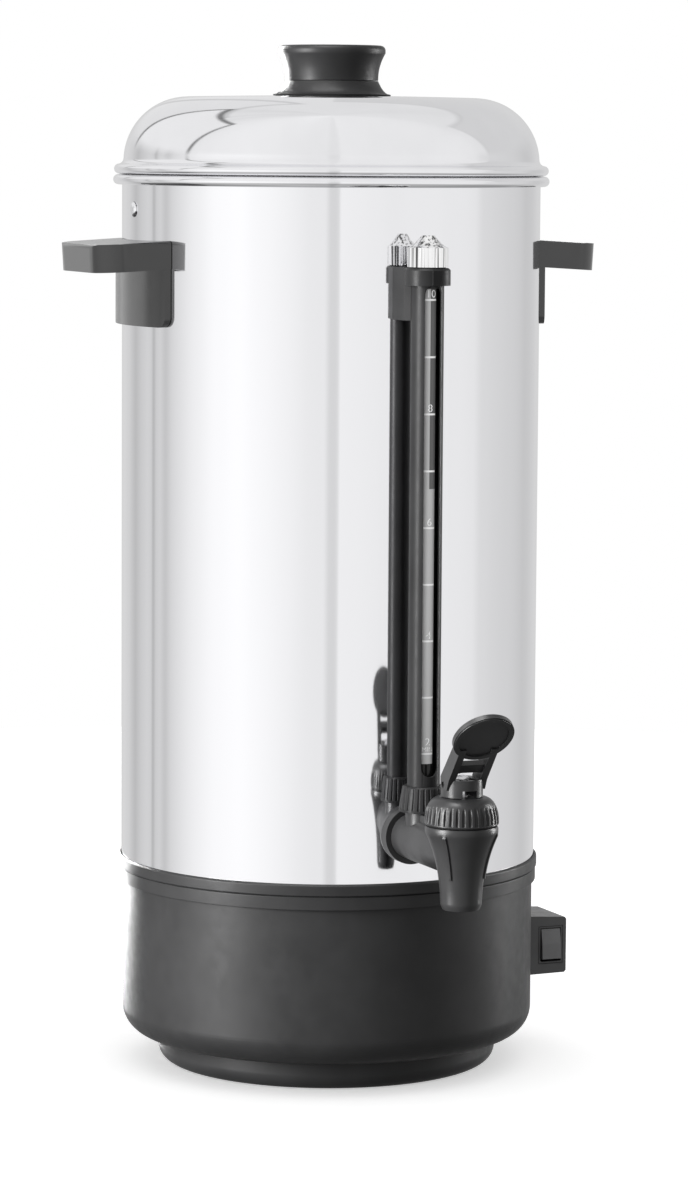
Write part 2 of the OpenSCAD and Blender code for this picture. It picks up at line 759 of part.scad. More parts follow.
// Bonnet: a fluted dome that screws down over the valve
module tap_bonnet() {
    dome_h = bonnet_h - bonnet_side_h;
    low_r = bonnet_r - flute_r;
    color("black") translate([0, -tap_r, bonnet_z]) difference() {
        rotate_extrude($fn = 120) polygon(concat(
            [[0, 0], [low_r, 0], [bonnet_r, flute_r]],
            [for (i = [0:14]) let (a = 90 * i / 14)
                [bonnet_top_r + (bonnet_r - bonnet_top_r) * pow(cos(a), 0.9),
                    bonnet_side_h + dome_h * sin(a)]],
            [[0, bonnet_h]]));
        for (i = [0:bonnet_flutes - 1]) rotate([0, 0, i * 360 / bonnet_flutes])
            translate([bonnet_r + flute_r * 0.35, 0, flute_r * 1.6]) rotate([0, flute_lean, 0])
                cylinder(r = flute_r, h = bonnet_h * 0.75, $fn = 16);
        translate([0, 0, -over]) cylinder(r = spring_well_r, h = bonnet_h - bonnet_wall + over);
        translate([0, 0, -over]) cylinder(r = stem_r + run_gap, h = bonnet_h + 2 * over);
        translate([0, 0, -over]) difference() {
            cylinder(r = bonnet_r - bonnet_wall, h = over + gasket_t - bonnet_gap + seat_gap);
            cylinder(r = spring_well_r + bonnet_wall / 2, h = 2 * over + gasket_t);
        }
    }
}

module bonnet_gasket() {
    color("dimgray") translate([0, -tap_r, spout_top_z]) difference() {
        cylinder(r = bonnet_r - bonnet_wall - seat_gap, h = gasket_t);
        translate([0, 0, -over])
            cylinder(r = spring_well_r + bonnet_wall / 2 + seat_gap, h = gasket_t + 2 * over);
    }
}

module tap_stem() {
    foot_z = seat_z + cup_h;
    head_z = pin_z - stem_head_r;
    color("lightgray") translate([0, -tap_r, 0]) difference() {
        union() {
            translate([0, 0, foot_z - cup_h / 2]) cylinder(r = stem_r, h = pin_z - foot_z + cup_h / 2);
            translate([0, 0, foot_z + seat_gap]) cylinder(r = stem_foot_r, h = stem_foot_t);
            intersection() {
                translate([0, 0, pin_z]) sphere(r = stem_head_r + move_gap);
                translate([0, 0, head_z]) cylinder(r = stem_head_r, h = 2 * stem_head_r + over);
            }
        }
        translate([-stem_head_r * 2, 0, pin_z]) rotate([0, 90, 0])
            cylinder(r = pin_r + run_gap, h = stem_head_r * 4);
    }
}

// Soft cup that closes the seat
module tap_seat_cup() {
    color("snow") translate([0, -tap_r, seat_z + seat_gap]) difference() {
        rotate_extrude() polygon([
            [0, cup_lip_h], [spout_bore_r, cup_lip_h], [spout_bore_r + cup_lip_h, 0], [cup_r, 0],
            [cup_r, cup_h / 2], [stem_r * 2, cup_h - seat_gap], [0, cup_h - seat_gap]]);
        translate([0, 0, cup_h / 2 - seat_gap * 2]) cylinder(r = stem_r + seat_gap, h = cup_h);
    }
}

// A tube swept along points: rings square to the path, closed at both ends
function unit(v) = v / norm(v);
function ring_frame(d) =
    let (side = unit(cross(d, abs(d[2]) > 0.9 ? [1, 0, 0] : [0, 0, 1]))) [side, cross(side, d)];
module swept_tube(path, r, sides) {
    n = len(path);
    dirs = [for (i = [0:n - 1]) unit(path[min(i + 1, n - 1)] - path[max(i - 1, 0)])];
    points = [for (i = [0:n - 1]) let (f = ring_frame(dirs[i])) for (k = [0:sides - 1])
        path[i] + r * (f[0] * cos(k * 360 / sides) + f[1] * sin(k * 360 / sides))];
    quads = [for (i = [0:n - 2]) for (k = [0:sides - 1])
        let (a = i * sides + k, b = i * sides + (k + 1) % sides)
        each [[a, b, b + sides], [a, b + sides, a + sides]]];
    first = [for (k = [1:sides - 2]) [0, k + 1, k]];
    last = [for (k = [1:sides - 2]) let (s = (n - 1) * sides) [s, s + k, s + k + 1]];
    polyhedron(points = points, faces = concat(quads, first, last));
}

module tap_spring() {
    low = seat_z + cup_h + stem_foot_t + spring_wire_r + 2 * seat_gap;
    top = bonnet_top_z - bonnet_wall - spring_wire_r - seat_gap;
    steps = spring_turns * spring_steps;
    color("lightgray") translate([0, -tap_r, 0]) swept_tube(
        [for (i = [0:steps]) let (a = i * 360 / spring_steps)
            [spring_r * cos(a), spring_r * sin(a), low + (top - low) * i / steps]],
        spring_wire_r, spring_sides);
}

// Lever: a slotted hub on the stem's pin, two leaning arms and a dished paddle
module tap_lever() {
    color("black") translate([0, -tap_r, pin_z]) difference() {
        union() {
            translate([0, 0, lever_z - pin_z]) cylinder(r = hub_r, h = hub_h, $fn = 96);
            for (side = [-1, 1]) translate([side * (hub_r - arm_t / 2) - arm_t / 2, 0, 0])
                rotate([90, 0, 90]) linear_extrude(arm_t) polygon([
                    [-arm_w * 0.65, lever_z - pin_z + notch_h], [arm_w * 0.4, lever_z - pin_z + notch_h],
                    [arm_w * 0.4, hub_h * 0.45],
                    [arm_w * 0.4 - arm_l * sin(arm_lean), hub_h * 0.45 + arm_l * cos(arm_lean)],
                    [-arm_w * 0.65 - arm_l * sin(arm_lean), hub_h * 0.15 + arm_l * cos(arm_lean)],
                    [-arm_w * 0.65 - arm_l * 0.1, hub_h * 0.3]]);
            rotate([arm_lean, 0, 0]) translate([arm_t / 2 - hub_r, -web_t * 0.6, paddle_reach * web_share])
                cube([2 * hub_r - arm_t, web_t, paddle_reach * web_share * 0.6]);
            rotate([arm_lean, 0, 0]) translate([0, arm_w * 0.1, paddle_reach]) rotate([90, 0, 0])
                lever_paddle();
        }
        translate([-hub_slot_w / 2, -hub_slot_l / 2, lever_z - pin_z - over])
            cube([hub_slot_w, hub_slot_l, hub_h + over + arm_w]);
        translate([-notch_w / 2, -hub_r - over, lever_z - pin_z - over])
            cube([notch_w, hub_r, notch_h + over]);
        translate([-hub_r - over, 0, 0]) rotate([0, 90, 0])
            cylinder(r = pin_r + seat_gap / 2, h = 2 * (hub_r + over));
    }
}

module lever_paddle() {
    difference() {
        union() {
            cylinder(r = paddle_r - paddle_dish / 2, h = paddle_t, $fn = 96);
            translate([0, 0, paddle_dish / 2]) cylinder(r = paddle_r, h = paddle_t - paddle_dish, $fn = 96);
        }
        translate([0, 0, paddle_t - paddle_dish])
            cylinder(r = paddle_r - paddle_rim, h = paddle_t, $fn = 96);
    }
}

module lever_pin() {
    color("lightgray") translate([-hub_r + pin_r / 2, -tap_r, pin_z]) rotate([0, 90, 0])
        cylinder(r = pin_r, h = 2 * hub_r - pin_r);
}

// Base: collar, shell and foot
collar_band_t = 1.6;
collar_low_t = 1;
collar_band_r = tank_r + collar_band_t;
collar_low_r = tank_r + collar_low_t;
collar_in_r = tank_r + seat_gap;
collar_split_z = collar_low_z + (collar_top_z - collar_low_z) * 0.56;
collar_edge = 0.8;
shelf_w = 3.4;
shell_gap = 2;
shell_top_z = tank_foot_z - shell_gap;
floor_flange_h = 9;
foot_r = foot_d / 2;
foot_corner_r = 8;
foot_wall = base_wall;
boss_r = 5;
boss_h = 12;
foot_screw_ring_r = foot_r * 0.78;
foot_screw_r = 1.9;
foot_screw_head_r = 3.8;
foot_screw_head_h = 2.6;
foot_counterbore_r = 4.4;
foot_counterbore_h = 4;
tie_r = 3;
tie_nut_h = 5;
tie_nut_w = 10;
tie_washer_r = 10;
tie_washer_t = 1.2;
tie_end_z = base_floor_z - tie_washer_t - tie_nut_h - tie_r / 2;

plate_r = tank_r * 0.75;
plate_t = 5;
plate_z = tank_floor_z - tank_wall - plate_t;
element_r = plate_r * 0.66;
element_tube_r = 4;
element_sweep = 300;
element_seal_t = 0.5;
element_end_r = element_tube_r + element_seal_t;
element_leg_l = 16;
element_z = plate_z - element_tube_r * 0.15;
thermostat_ring_r = element_r * 0.58;
thermostat_r = 8;
thermostat_h = 9;
thermostat_lug = 6.5;
lug_t = 0.8;

module base_collar() {
    color("dimgray") rotate_extrude($fn = 180) polygon([
        [base_r + seat_gap, collar_low_z], [collar_low_r, collar_low_z],
        [collar_low_r, collar_split_z - collar_edge],
            [collar_low_r - collar_edge, collar_split_z - collar_edge / 2],
        [collar_band_r, collar_split_z], [collar_band_r, collar_top_z - collar_edge],
        [collar_band_r - collar_edge, collar_top_z], [collar_in_r, collar_top_z],
        [collar_in_r, tank_foot_z - seat_gap],
        [tank_r - shelf_w, tank_foot_z - seat_gap], [tank_r - shelf_w, shell_top_z + seat_gap],
        [base_r + seat_gap, shell_top_z + seat_gap]]);
}

// The shell's outline, drawn in by a wall
module base_region(wall) {
    polygon(concat([[0, base_floor_z + wall]],
        arc(base_r - base_corner_r, base_floor_z + base_corner_r, base_corner_r - wall, -90, 0, 16),
        [[base_r - wall, shell_top_z + (wall > 0 ? over : 0)], [0, shell_top_z + (wall > 0 ? over : 0)]]));
}

module foot_screw_places() {
    for (i = [0:2]) rotate([0, 0, 30 + 120 * i]) translate([foot_screw_ring_r, 0, 0]) children();
}

// Inlet at the rear and the reset button beside it
inlet_z = 46;
inlet_w = 28;
inlet_h = 22;
inlet_l = 24;
inlet_frame = 3;
inlet_pad = 5;
inlet_proud = 1;
inlet_face_y = base_r + inlet_proud;
inlet_cup_w = 24.2;
inlet_cup_h = 16.4;
inlet_cup_l = 17;
inlet_pin_t = 2;
inlet_pin_w = 4;
inlet_pin_l = 12;
inlet_pin_gap = 7;
inlet_pin_lift = 2;
inlet_ears = 12;
inlet_screw_gap = inlet_w + inlet_ears;
inlet_screw_r = 1.5;
button_turn = -26;
button_z = inlet_z;
button_r = 3.4;
button_l = 7;
button_travel = 1.5;
breaker_r = 9;
breaker_l = 16;
bezel_r = 7;
bezel_t = 1.6;

module base_shell() {
    color("dimgray") difference() {
        union() {
            rotate_extrude($fn = 180) difference() {
                base_region(0);
                base_region(base_wall);
            }
            foot_screw_places() translate([0, 0, base_floor_z]) cylinder(r = boss_r, h = boss_h);
            translate([-inlet_screw_gap / 2 - inlet_pad, base_r - base_wall * 2.2, 0])
                translate([0, 0, inlet_z - inlet_h / 2 - inlet_pad])
                cube([inlet_screw_gap + 2 * inlet_pad, base_wall * 2.2 + inlet_proud,
                    inlet_h + 2 * inlet_pad]);
        }
        foot_screw_places() translate([0, 0, base_floor_z - over])
            cylinder(r = foot_screw_r + run_gap, h = boss_h);
        translate([0, 0, base_floor_z - over]) cylinder(r = tie_r + seat_gap, h = base_wall + 2 * over);
        translate([-inlet_w / 2 - seat_gap, base_r - base_wall * 4, inlet_z - inlet_h / 2 - seat_gap])
            cube([inlet_w + 2 * seat_gap, base_wall * 6, inlet_h + 2 * seat_gap]);
        for (side = [-1, 1]) translate([side * inlet_screw_gap / 2, base_r + over * 4, inlet_z])
            rotate([90, 0, 0])
            cylinder(r = inlet_screw_r + run_gap, h = base_wall * 3 + over * 4);
        rotate([0, 0, button_turn]) translate([0, base_r + over * 4, button_z]) rotate([90, 0, 0])
            cylinder(r = bezel_r - bezel_t, h = base_wall * 3 + over * 4);
        side_rod(0, base_r - base_wall * 2, base_r + over, 0, pod_z, pod_wire_r);
    }
}

module foot_pan() {
    rotate_extrude($fn = 180) difference() {
        polygon(concat([[0, 0]], arc(foot_r - foot_corner_r, foot_corner_r, foot_corner_r, -90, 0, 12),
            [[foot_r, base_floor_z], [0, base_floor_z]]));
        polygon(concat([[0, foot_wall]],
            arc(foot_r - foot_corner_r, foot_corner_r, foot_corner_r - foot_wall, -90, 0, 12),
            [[foot_r - foot_wall, base_floor_z + over], [0, base_floor_z + over]]));
    }
}

module base_foot() {
    color("dimgray") difference() {
        union() {
            foot_pan();
            foot_screw_places() cylinder(r = boss_r + foot_wall / 2, h = base_floor_z);
        }
        foot_screw_places() {
            translate([0, 0, -over]) cylinder(r = foot_screw_r + seat_gap, h = base_floor_z + 2 * over);
            translate([0, 0, -over]) cylinder(r = foot_counterbore_r, h = foot_counterbore_h + over);
        }
    }
}

module foot_screws() {
    color("lightgray") foot_screw_places() {
        translate([0, 0, foot_counterbore_h - foot_screw_head_h]) difference() {
            cylinder(r = foot_screw_head_r, h = foot_screw_head_h);
            for (turn = [0, 90]) rotate([0, 0, turn])
                translate([-foot_screw_head_r * 0.6, -foot_screw_head_h / 6, -over])
                    cube([foot_screw_head_r * 1.2, foot_screw_head_h / 3, over + foot_screw_head_h / 2]);
        }
        translate([0, 0, foot_counterbore_h])
            cylinder(r = foot_screw_r, h = base_floor_z + boss_h * 0.7 - foot_counterbore_h);
    }
}

module tie_rod() {
    color("lightgray") translate([0, 0, tie_end_z]) cylinder(r = tie_r, h = plate_z - tie_end_z);
}

module tie_washer() {
    color("lightgray") translate([0, 0, base_floor_z - tie_washer_t]) difference() {
        cylinder(r = tie_washer_r, h = tie_washer_t);
        translate([0, 0, -over]) cylinder(r = tie_r + seat_gap, h = tie_washer_t + 2 * over);
    }
}

module tie_nut() {
    color("lightgray") translate([0, 0, base_floor_z - tie_washer_t - tie_nut_h]) difference() {
        cylinder(r = tie_nut_w / 2 / cos(30), h = tie_nut_h, $fn = 6);
        translate([0, 0, -over]) cylinder(r = tie_r + seat_gap, h = tie_nut_h + 2 * over);
    }
}

// Heater under the tank floor: a spreader plate with a ring element let into it
module heater_plate() {
    color("silver") difference() {
        translate([0, 0, plate_z]) cylinder(r = plate_r, h = plate_t, $fn = 120);
        rotate_extrude($fn = 120) translate([element_r, element_z])
            circle(r = element_tube_r + seat_gap, $fn = 32);
        element_ends() translate([0, 0, plate_z - over])
            cylinder(r = element_end_r + seat_gap, h = element_z + element_end_r + seat_gap - plate_z + over);
    }
}

// Where the element's two ends turn down
module element_ends() {
    for (side = [-1, 1]) rotate([0, 0, side * element_sweep / 2]) translate([element_r, 0, 0]) children();
}

module heating_element() {
    color("slategray") {
        rotate([0, 0, -element_sweep / 2]) rotate_extrude(angle = element_sweep, $fn = 120)
            translate([element_r, element_z]) circle(r = element_tube_r, $fn = 32);
        element_ends() translate([0, 0, element_z - element_leg_l])
            cylinder(r = element_end_r, h = element_leg_l + element_end_r, $fn = 32);
        element_ends() translate([0, 0, element_z - element_leg_l * 1.4])
            cylinder(r = element_tube_r / 3, h = element_leg_l * 0.5, $fn = 24);
    }
}

// A disc thermostat held against the plate, with its two terminals
module thermostat(azimuth) {
    rotate([0, 0, azimuth]) translate([thermostat_ring_r, 0, plate_z - thermostat_h]) {
        cylinder(r = thermostat_r, h = thermostat_h);
        for (side = [-1, 1])
            translate([-lug_t / 2, side * thermostat_r * 0.55 - thermostat_lug / 2, -thermostat_lug])
                cube([lug_t, thermostat_lug, thermostat_lug + over]);
    }
}

// The lower end of a thermostat's outer terminal
function thermostat_lug_end(azimuth) = let (y = thermostat_r * 0.55)
    [thermostat_ring_r * cos(azimuth) - y * sin(azimuth), thermostat_ring_r * sin(azimuth) + y * cos(azimuth),
        plate_z - thermostat_h - thermostat_lug - seat_gap];

module boil_thermostat() {
    color("ivory") thermostat(-40);
}

module warm_thermostat() {
    color("ivory") thermostat(60);
}

bulb_r = 3;
bulb_l = 42;
bulb_gap = 4;
bulb_place = element_r + element_tube_r + bulb_r + bulb_gap;
capillary_r = 0.9;
// Places on the capillary's way, inward and up from the breaker's back, as shares of the breaker's radius
capillary_way_shares = [[1.6, 4], [1.5, 1.6], [1.25, 0.6], [0.9, 0.12]];

// Cut-out: a bulb clamped under the plate, its capillary, a breaker and a reset button
module cutout_bulb() {
    z = plate_z - bulb_r - seat_gap;
    out = [-sin(button_turn), cos(button_turn), 0];
    rear = out * (base_r - bezel_t - breaker_l - base_wall - seat_gap) + [0, 0, button_z];
    down = [0, 0, breaker_r];
    color("peru") {
        translate([-bulb_l / 2, bulb_place, z]) rotate([0, 90, 0]) cylinder(r = bulb_r, h = bulb_l);
        swept_tube(smooth_path(concat(
            [[bulb_l / 2 - over, bulb_place, z], [bulb_l / 2 + bulb_r, bulb_place, z]],
            [[bulb_l / 2 + bulb_r * 3, bulb_place, z - bulb_r * 2]],
            [for (way = capillary_way_shares) rear - out * way[0] * breaker_r + down * way[1]],
            arrive(rear, -out * wire_step))), capillary_r, 8);
    }
}

// A smooth curve through chosen points
function smooth_path(p, n = 5) = let (m = len(p)) concat([for (i = [0:m - 2]) for (j = [0:n - 1])
    let (a = p[max(i - 1, 0)], b = p[i], c = p[i + 1], d = p[min(i + 2, m - 1)], t = j / n)
        (2 * b + (c - a) * t + (2 * a - 5 * b + 4 * c - d) * t * t +
            (3 * b - a - 3 * c + d) * t * t * t) / 2],
    [p[m - 1]]);

// A place on the rear wall beside the inlet, looking out along +Y
module breaker_place() {
    rotate([0, 0, button_turn]) translate([0, base_r, button_z]) rotate([-90, 0, 0]) children();
}

module cutout_breaker() {
    color("black") breaker_place() difference() {
        union() {
            translate([0, 0, -base_wall - bezel_t - breaker_l]) cylinder(r = breaker_r, h = breaker_l);
            translate([0, 0, -base_wall - bezel_t - over])
                cylinder(r = bezel_r - bezel_t - seat_gap, h = base_wall + bezel_t + over);
            translate([0, 0, seat_gap * 4]) cylinder(r = bezel_r, h = bezel_t);
            cylinder(r = bezel_r - bezel_t - seat_gap, h = bezel_t);
        }
        translate([0, 0, -button_l - button_travel - move_gap])
            cylinder(r = button_r + run_gap, h = button_l * 3);
    }
}

module cutout_button() {
    color("firebrick") breaker_place() translate([0, 0, bezel_t - button_l + button_travel])
        cylinder(r = button_r, h = button_l);
}

// The socket's face plate, with an ear at each side for its screw
module inlet_face() {
    hull() {
        translate([-inlet_w / 2, -inlet_h / 2 - inlet_frame / 2]) square([inlet_w, inlet_h + inlet_frame]);
        for (side = [-1, 1]) translate([side * inlet_screw_gap / 2, 0]) circle(r = inlet_pad - over);
    }
}

module inlet_socket() {
    inner_y = inlet_face_y + inlet_frame - inlet_l;
    color("black") difference() {
        union() {
            translate([-inlet_w / 2, inner_y, inlet_z - inlet_h / 2]) cube([inlet_w, inlet_l, inlet_h]);
            translate([0, inlet_face_y + seat_gap, inlet_z])
                rotate([-90, 0, 0]) linear_extrude(inlet_frame - seat_gap) inlet_face();
        }
        translate([-inlet_cup_w / 2, inlet_face_y + inlet_frame - inlet_cup_l, inlet_z - inlet_cup_h / 2])
            cube([inlet_cup_w, inlet_cup_l + over, inlet_cup_h]);
        for (side = [-1, 1])
            translate([side * inlet_screw_gap / 2, inlet_face_y - over, inlet_z]) rotate([-90, 0, 0])
            cylinder(r = inlet_screw_r + run_gap, h = inlet_frame + 2 * over);
    }
}

module inlet_pins() {
    back_y = inlet_face_y + inlet_frame - inlet_cup_l;
    color("lightgray") for (i = [-1:1])
        translate([i * inlet_pin_gap - inlet_pin_t / 2, back_y,
            inlet_z - inlet_pin_w / 2 + (i == 0 ? inlet_pin_lift : -inlet_pin_lift)])
            cube([inlet_pin_t, inlet_pin_l, inlet_pin_w]);
}

module inlet_screws() {
    top_y = inlet_face_y + inlet_frame;
    color("lightgray") for (side = [-1, 1])
        translate([side * inlet_screw_gap / 2, top_y, inlet_z]) rotate([90, 0, 0]) {
            cylinder(r = inlet_screw_r, h = inlet_frame + base_wall * 2);
            translate([0, 0, -inlet_screw_r])
                cylinder(r1 = inlet_screw_r, r2 = inlet_screw_r * 1.8, h = inlet_screw_r);
        }
}

terminal_w = 36;
terminal_l = 18;
terminal_h = 14;
terminal_x = -44;
terminal_wire_r = 2;
terminal_z = base_floor_z + base_wall + terminal_h / 2;

module terminal_block() {
    color("ivory") translate([terminal_far_x, -terminal_w / 2, base_floor_z + base_wall]) difference() {
        cube([terminal_l, terminal_w, terminal_h]);
        for (i = [0:2]) translate([0, terminal_pole * (i + 0.5), terminal_h / 2]) {
            translate([-over, 0, 0]) rotate([0, 90, 0])
                cylinder(r = terminal_wire_r, h = terminal_l + 2 * over);
            for (x = [0.25, 0.75]) translate([terminal_l * x, 0, 0])
                cylinder(r = terminal_wire_r, h = terminal_h);
        }
    }
}

// Switch housing on the base's +X side; its switch faces the tap side
pod_wire_r = 6;
pod_wall = 2;
pod_out_r = base_r + pod_reach;
pod_low_z = pod_z - pod_h / 2;
pod_top_z = pod_z + pod_h / 2;
pod_fairing = 10.5;
pod_taper = 1.2;
pod_edge = 1;
switch_w = 14;
switch_h = 20;
switch_l = 15;
switch_x = pod_out_r - pod_wall - switch_w / 2;
switch_skin = 1.2;
rocker_gap = 0.4;
rocker_w = switch_w - 2 * (switch_skin + rocker_gap);
rocker_h = switch_h - 2 * (switch_skin + rocker_gap);
rocker_rise = 2.6;
rocker_axle_r = 1.5;
rocker_axle_y = 4;
terminal_lug_l = 7;
terminal_lug_w = 4.8;

// Side view of the housing: tapered outwards, with a fairing up the base's wall
module pod_side(wall) {
    polygon([
        [base_r * 0.9, pod_low_z + wall], [pod_out_r - pod_edge - wall, pod_low_z + pod_taper / 2 + wall],
        [pod_out_r - wall, pod_low_z + pod_taper / 2 + pod_edge + wall],
        [pod_out_r - wall, pod_top_z - pod_taper - pod_edge - wall],
        [pod_out_r - pod_edge - wall, pod_top_z - pod_taper - wall],
        [base_r + pod_edge * 3, pod_top_z - wall],
        [base_r - pod_edge, pod_top_z + pod_fairing - wall], [base_r * 0.9, pod_top_z + pod_fairing - wall]]);
}

module switch_housing() {
    color("dimgray") difference() {
        translate([0, pod_l / 2, 0]) rotate([90, 0, 0]) linear_extrude(pod_l) pod_side(0);
        translate([0, pod_l / 2 - pod_wall, 0]) rotate([90, 0, 0])
            linear_extrude(pod_l - 2 * pod_wall) pod_side(pod_wall);
        translate([0, 0, pod_low_z - over])
            cylinder(r = base_r + seat_gap, h = pod_h + pod_fairing + 2 * over, $fn = 180);
        translate([switch_x - switch_w / 2 - seat_gap, -pod_l / 2 - over, pod_z - switch_h / 2 - seat_gap])
            cube([switch_w + 2 * seat_gap, pod_wall + 2 * over, switch_h + 2 * seat_gap]);
    }
}

module switch_body() {
    color("black") translate([switch_x, -pod_l / 2, pod_z]) difference() {
        translate([-switch_w / 2, 0, -switch_h / 2]) cube([switch_w, switch_l, switch_h]);
        translate([switch_skin - switch_w / 2, -over, switch_skin - switch_h / 2])
            cube([switch_w - 2 * switch_skin, rocker_axle_y * 2 + over, switch_h - 2 * switch_skin]);
        translate([-switch_w / 2 - over, rocker_axle_y, 0]) rotate([0, 90, 0])
            cylinder(r = rocker_axle_r + run_gap, h = switch_w + 2 * over);
    }
}

// Rocker: two faces that meet in a ridge, tilted with its upper half pressed in
module switch_rocker() {
    low = rocker_h / 2;
    color("gray") translate([switch_x, -pod_l / 2 + rocker_axle_y, pod_z]) rotate([-rocker_angle / 2, 0, 0]) {
        translate([-rocker_w / 2, 0, 0]) rotate([90, 0, 90]) linear_extrude(rocker_w) polygon([
            [-rocker_axle_y - rocker_rise * 0.35, -low + rocker_gap],
                [-rocker_axle_y - rocker_rise * 0.55, 0],
            [-rocker_axle_y - rocker_rise * 0.35, low - rocker_gap], [-rocker_axle_y * 0.4, low - rocker_gap],
            [rocker_axle_r, rocker_axle_r * 1.4], [rocker_axle_r, -rocker_axle_r * 1.4],
            [-rocker_axle_y * 0.4, -low + rocker_gap]]);
        translate([-switch_w / 2 + switch_skin / 3, 0, 0]) rotate([0, 90, 0])
            cylinder(r = rocker_axle_r, h = switch_w - switch_skin * 2 / 3);
    }
}

module switch_terminals() {
    color("goldenrod") for (z = [pod_z - switch_h / 4, pod_z + switch_h / 4])
        translate([switch_x - terminal_lug_w / 2, switch_l - pod_l / 2, z - lug_t / 2])
            cube([terminal_lug_w, terminal_lug_l, lug_t]);
}

// Inside wires: straight where they leave a lug, and curved between
wire_r = 1.3;
wire_step = 2.5;

// Places inside the base, from shares of its radius across and of its height up
function inside(shares) = [for (share = shares) [share[0] * base_r, share[1] * base_r,
    base_floor_z + share[2] * (shell_top_z - base_floor_z)]];

// Three places in a row that leave a lug, or come in to it
function leave(place, step) = [place, place + step, place + 2 * step];
function arrive(place, step) = [place + 2 * step, place + step, place];

module wire(points) {
    swept_tube(smooth_path(points), wire_r, 8);
}

// Places on the wires' ways, as shares of the base's radius and height
supply_way_shares = [[-0.112, 0.581, 0.28], [-0.15, 0.375, 0.17]];
live_way_shares = [[0.656, -0.131, 0.33], [0.187, -0.431, 0.183]];
heat_way_shares = [[0.656, -0.038, 0.62]];
element_way_shares = [[-0.6, 0.281, 0.573], [-0.694, 0.2, 0.305]];

terminal_pole = terminal_w / 3;
terminal_near_x = terminal_x + terminal_l / 2;
terminal_far_x = terminal_x - terminal_l / 2;

module supply_wires() {
    back = inlet_face_y + inlet_frame - inlet_l - seat_gap;
    color("steelblue") for (i = [-1:1])
        wire(concat(
            leave([i * inlet_pin_gap, back, inlet_z], [0, -wire_step, 0]),
            [for (place = inside(supply_way_shares)) place + [i * inlet_pin_gap, 0, 0]],
            [[terminal_near_x + terminal_l * (0.72 + i * 0.28), terminal_pole * (0.5 - i), terminal_z]],
            arrive([terminal_near_x + seat_gap, -i * terminal_pole, terminal_z], [wire_step, 0, 0])));
}

// The way of a wire from a switch lug out of the housing, at the lug's level
function pod_way(level) = concat(
    leave([switch_x, switch_l - pod_l / 2 + terminal_lug_l + seat_gap, pod_z + level * switch_h / 4],
        [0, wire_step, 0]),
    [[switch_x - switch_w * 0.3, pod_l * 0.36, pod_z + level * switch_h / 4],
        [base_r + pod_wire_r * 0.8, pod_wire_r * 0.9, pod_z + level * pod_wire_r / 2],
        [base_r - pod_wire_r * 1.3, -pod_wire_r / 3, pod_z + level * pod_wire_r * 0.4]]);

module switch_wires() {
    lug = thermostat_lug_end(-40);
    color("firebrick") {
        wire(concat(
            pod_way(-1), inside(live_way_shares),
            [[terminal_far_x + terminal_l / 6, -terminal_w * 1.22, terminal_z],
                [terminal_far_x - terminal_l * 0.45, -terminal_w * 0.85, terminal_z],
                [terminal_far_x - terminal_l * 0.66, -terminal_w * 0.56, terminal_z],
                [terminal_far_x - terminal_l * 0.55, -terminal_w * 0.375, terminal_z]],
            arrive([terminal_far_x - seat_gap, -terminal_pole, terminal_z], [-wire_step, 0, 0])));
        wire(concat(
            pod_way(1), inside(heat_way_shares),
            [lug + [thermostat_r, -thermostat_r / 2, -2 * thermostat_h]],
            arrive(lug, [0, 0, -wire_step])));
    }
}

module element_wires() {
    leg_z = element_z - element_leg_l * 1.4 - seat_gap;
    color("gold") for (side = [-1, 1]) {
        turn = side * element_sweep / 2;
        y = side > 0 ? terminal_pole : 0;
        wire(concat(
            leave([element_r * cos(turn), element_r * sin(turn), leg_z], [0, 0, -wire_step]),
            [for (place = inside(element_way_shares)) [place[0], place[1] * side, place[2]]],
            [[terminal_far_x - terminal_l * 0.72, y, terminal_z + terminal_h / 4],
                [terminal_far_x - terminal_l * 0.44, y, terminal_z]],
            arrive([terminal_far_x - seat_gap, y, terminal_z], [-wire_step, 0, 0])));
    }
}

lid_shell();
lid_collar();
knob_skirt();
knob_grip();
knob_screw();
knob_washer();
tank_shell();
tank_floor();
lock_studs();
handle_left();
handle_right();
handle_screws();
handle_washers();
gauge_guard();
gauge_glass();
gauge_seals();
gauge_nut();
gauge_bracket();
gauge_bracket_screw();
gauge_cap();
gauge_cap_seal();
tap_body();
tap_flange();
tap_gasket();
tap_lock_nut();
tap_bonnet();
bonnet_gasket();
tap_stem();
tap_seat_cup();
tap_spring();
tap_lever();
lever_pin();
base_collar();
base_shell();
base_foot();
foot_screws();
tie_rod();
tie_washer();
tie_nut();
heater_plate();
heating_element();
boil_thermostat();
warm_thermostat();
cutout_bulb();
cutout_breaker();
cutout_button();
inlet_socket();
inlet_pins();
inlet_screws();
terminal_block();
switch_housing();
switch_body();
switch_rocker();
switch_terminals();
supply_wires();
switch_wires();
element_wires();
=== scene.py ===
"""Hot water urn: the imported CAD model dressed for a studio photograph.

Named lengths are in mm, apart from the places and sizes of the camera and the lamps, which are in metres.
"""

import json
import math

import bmesh
import bpy
from mathutils import Matrix, Vector


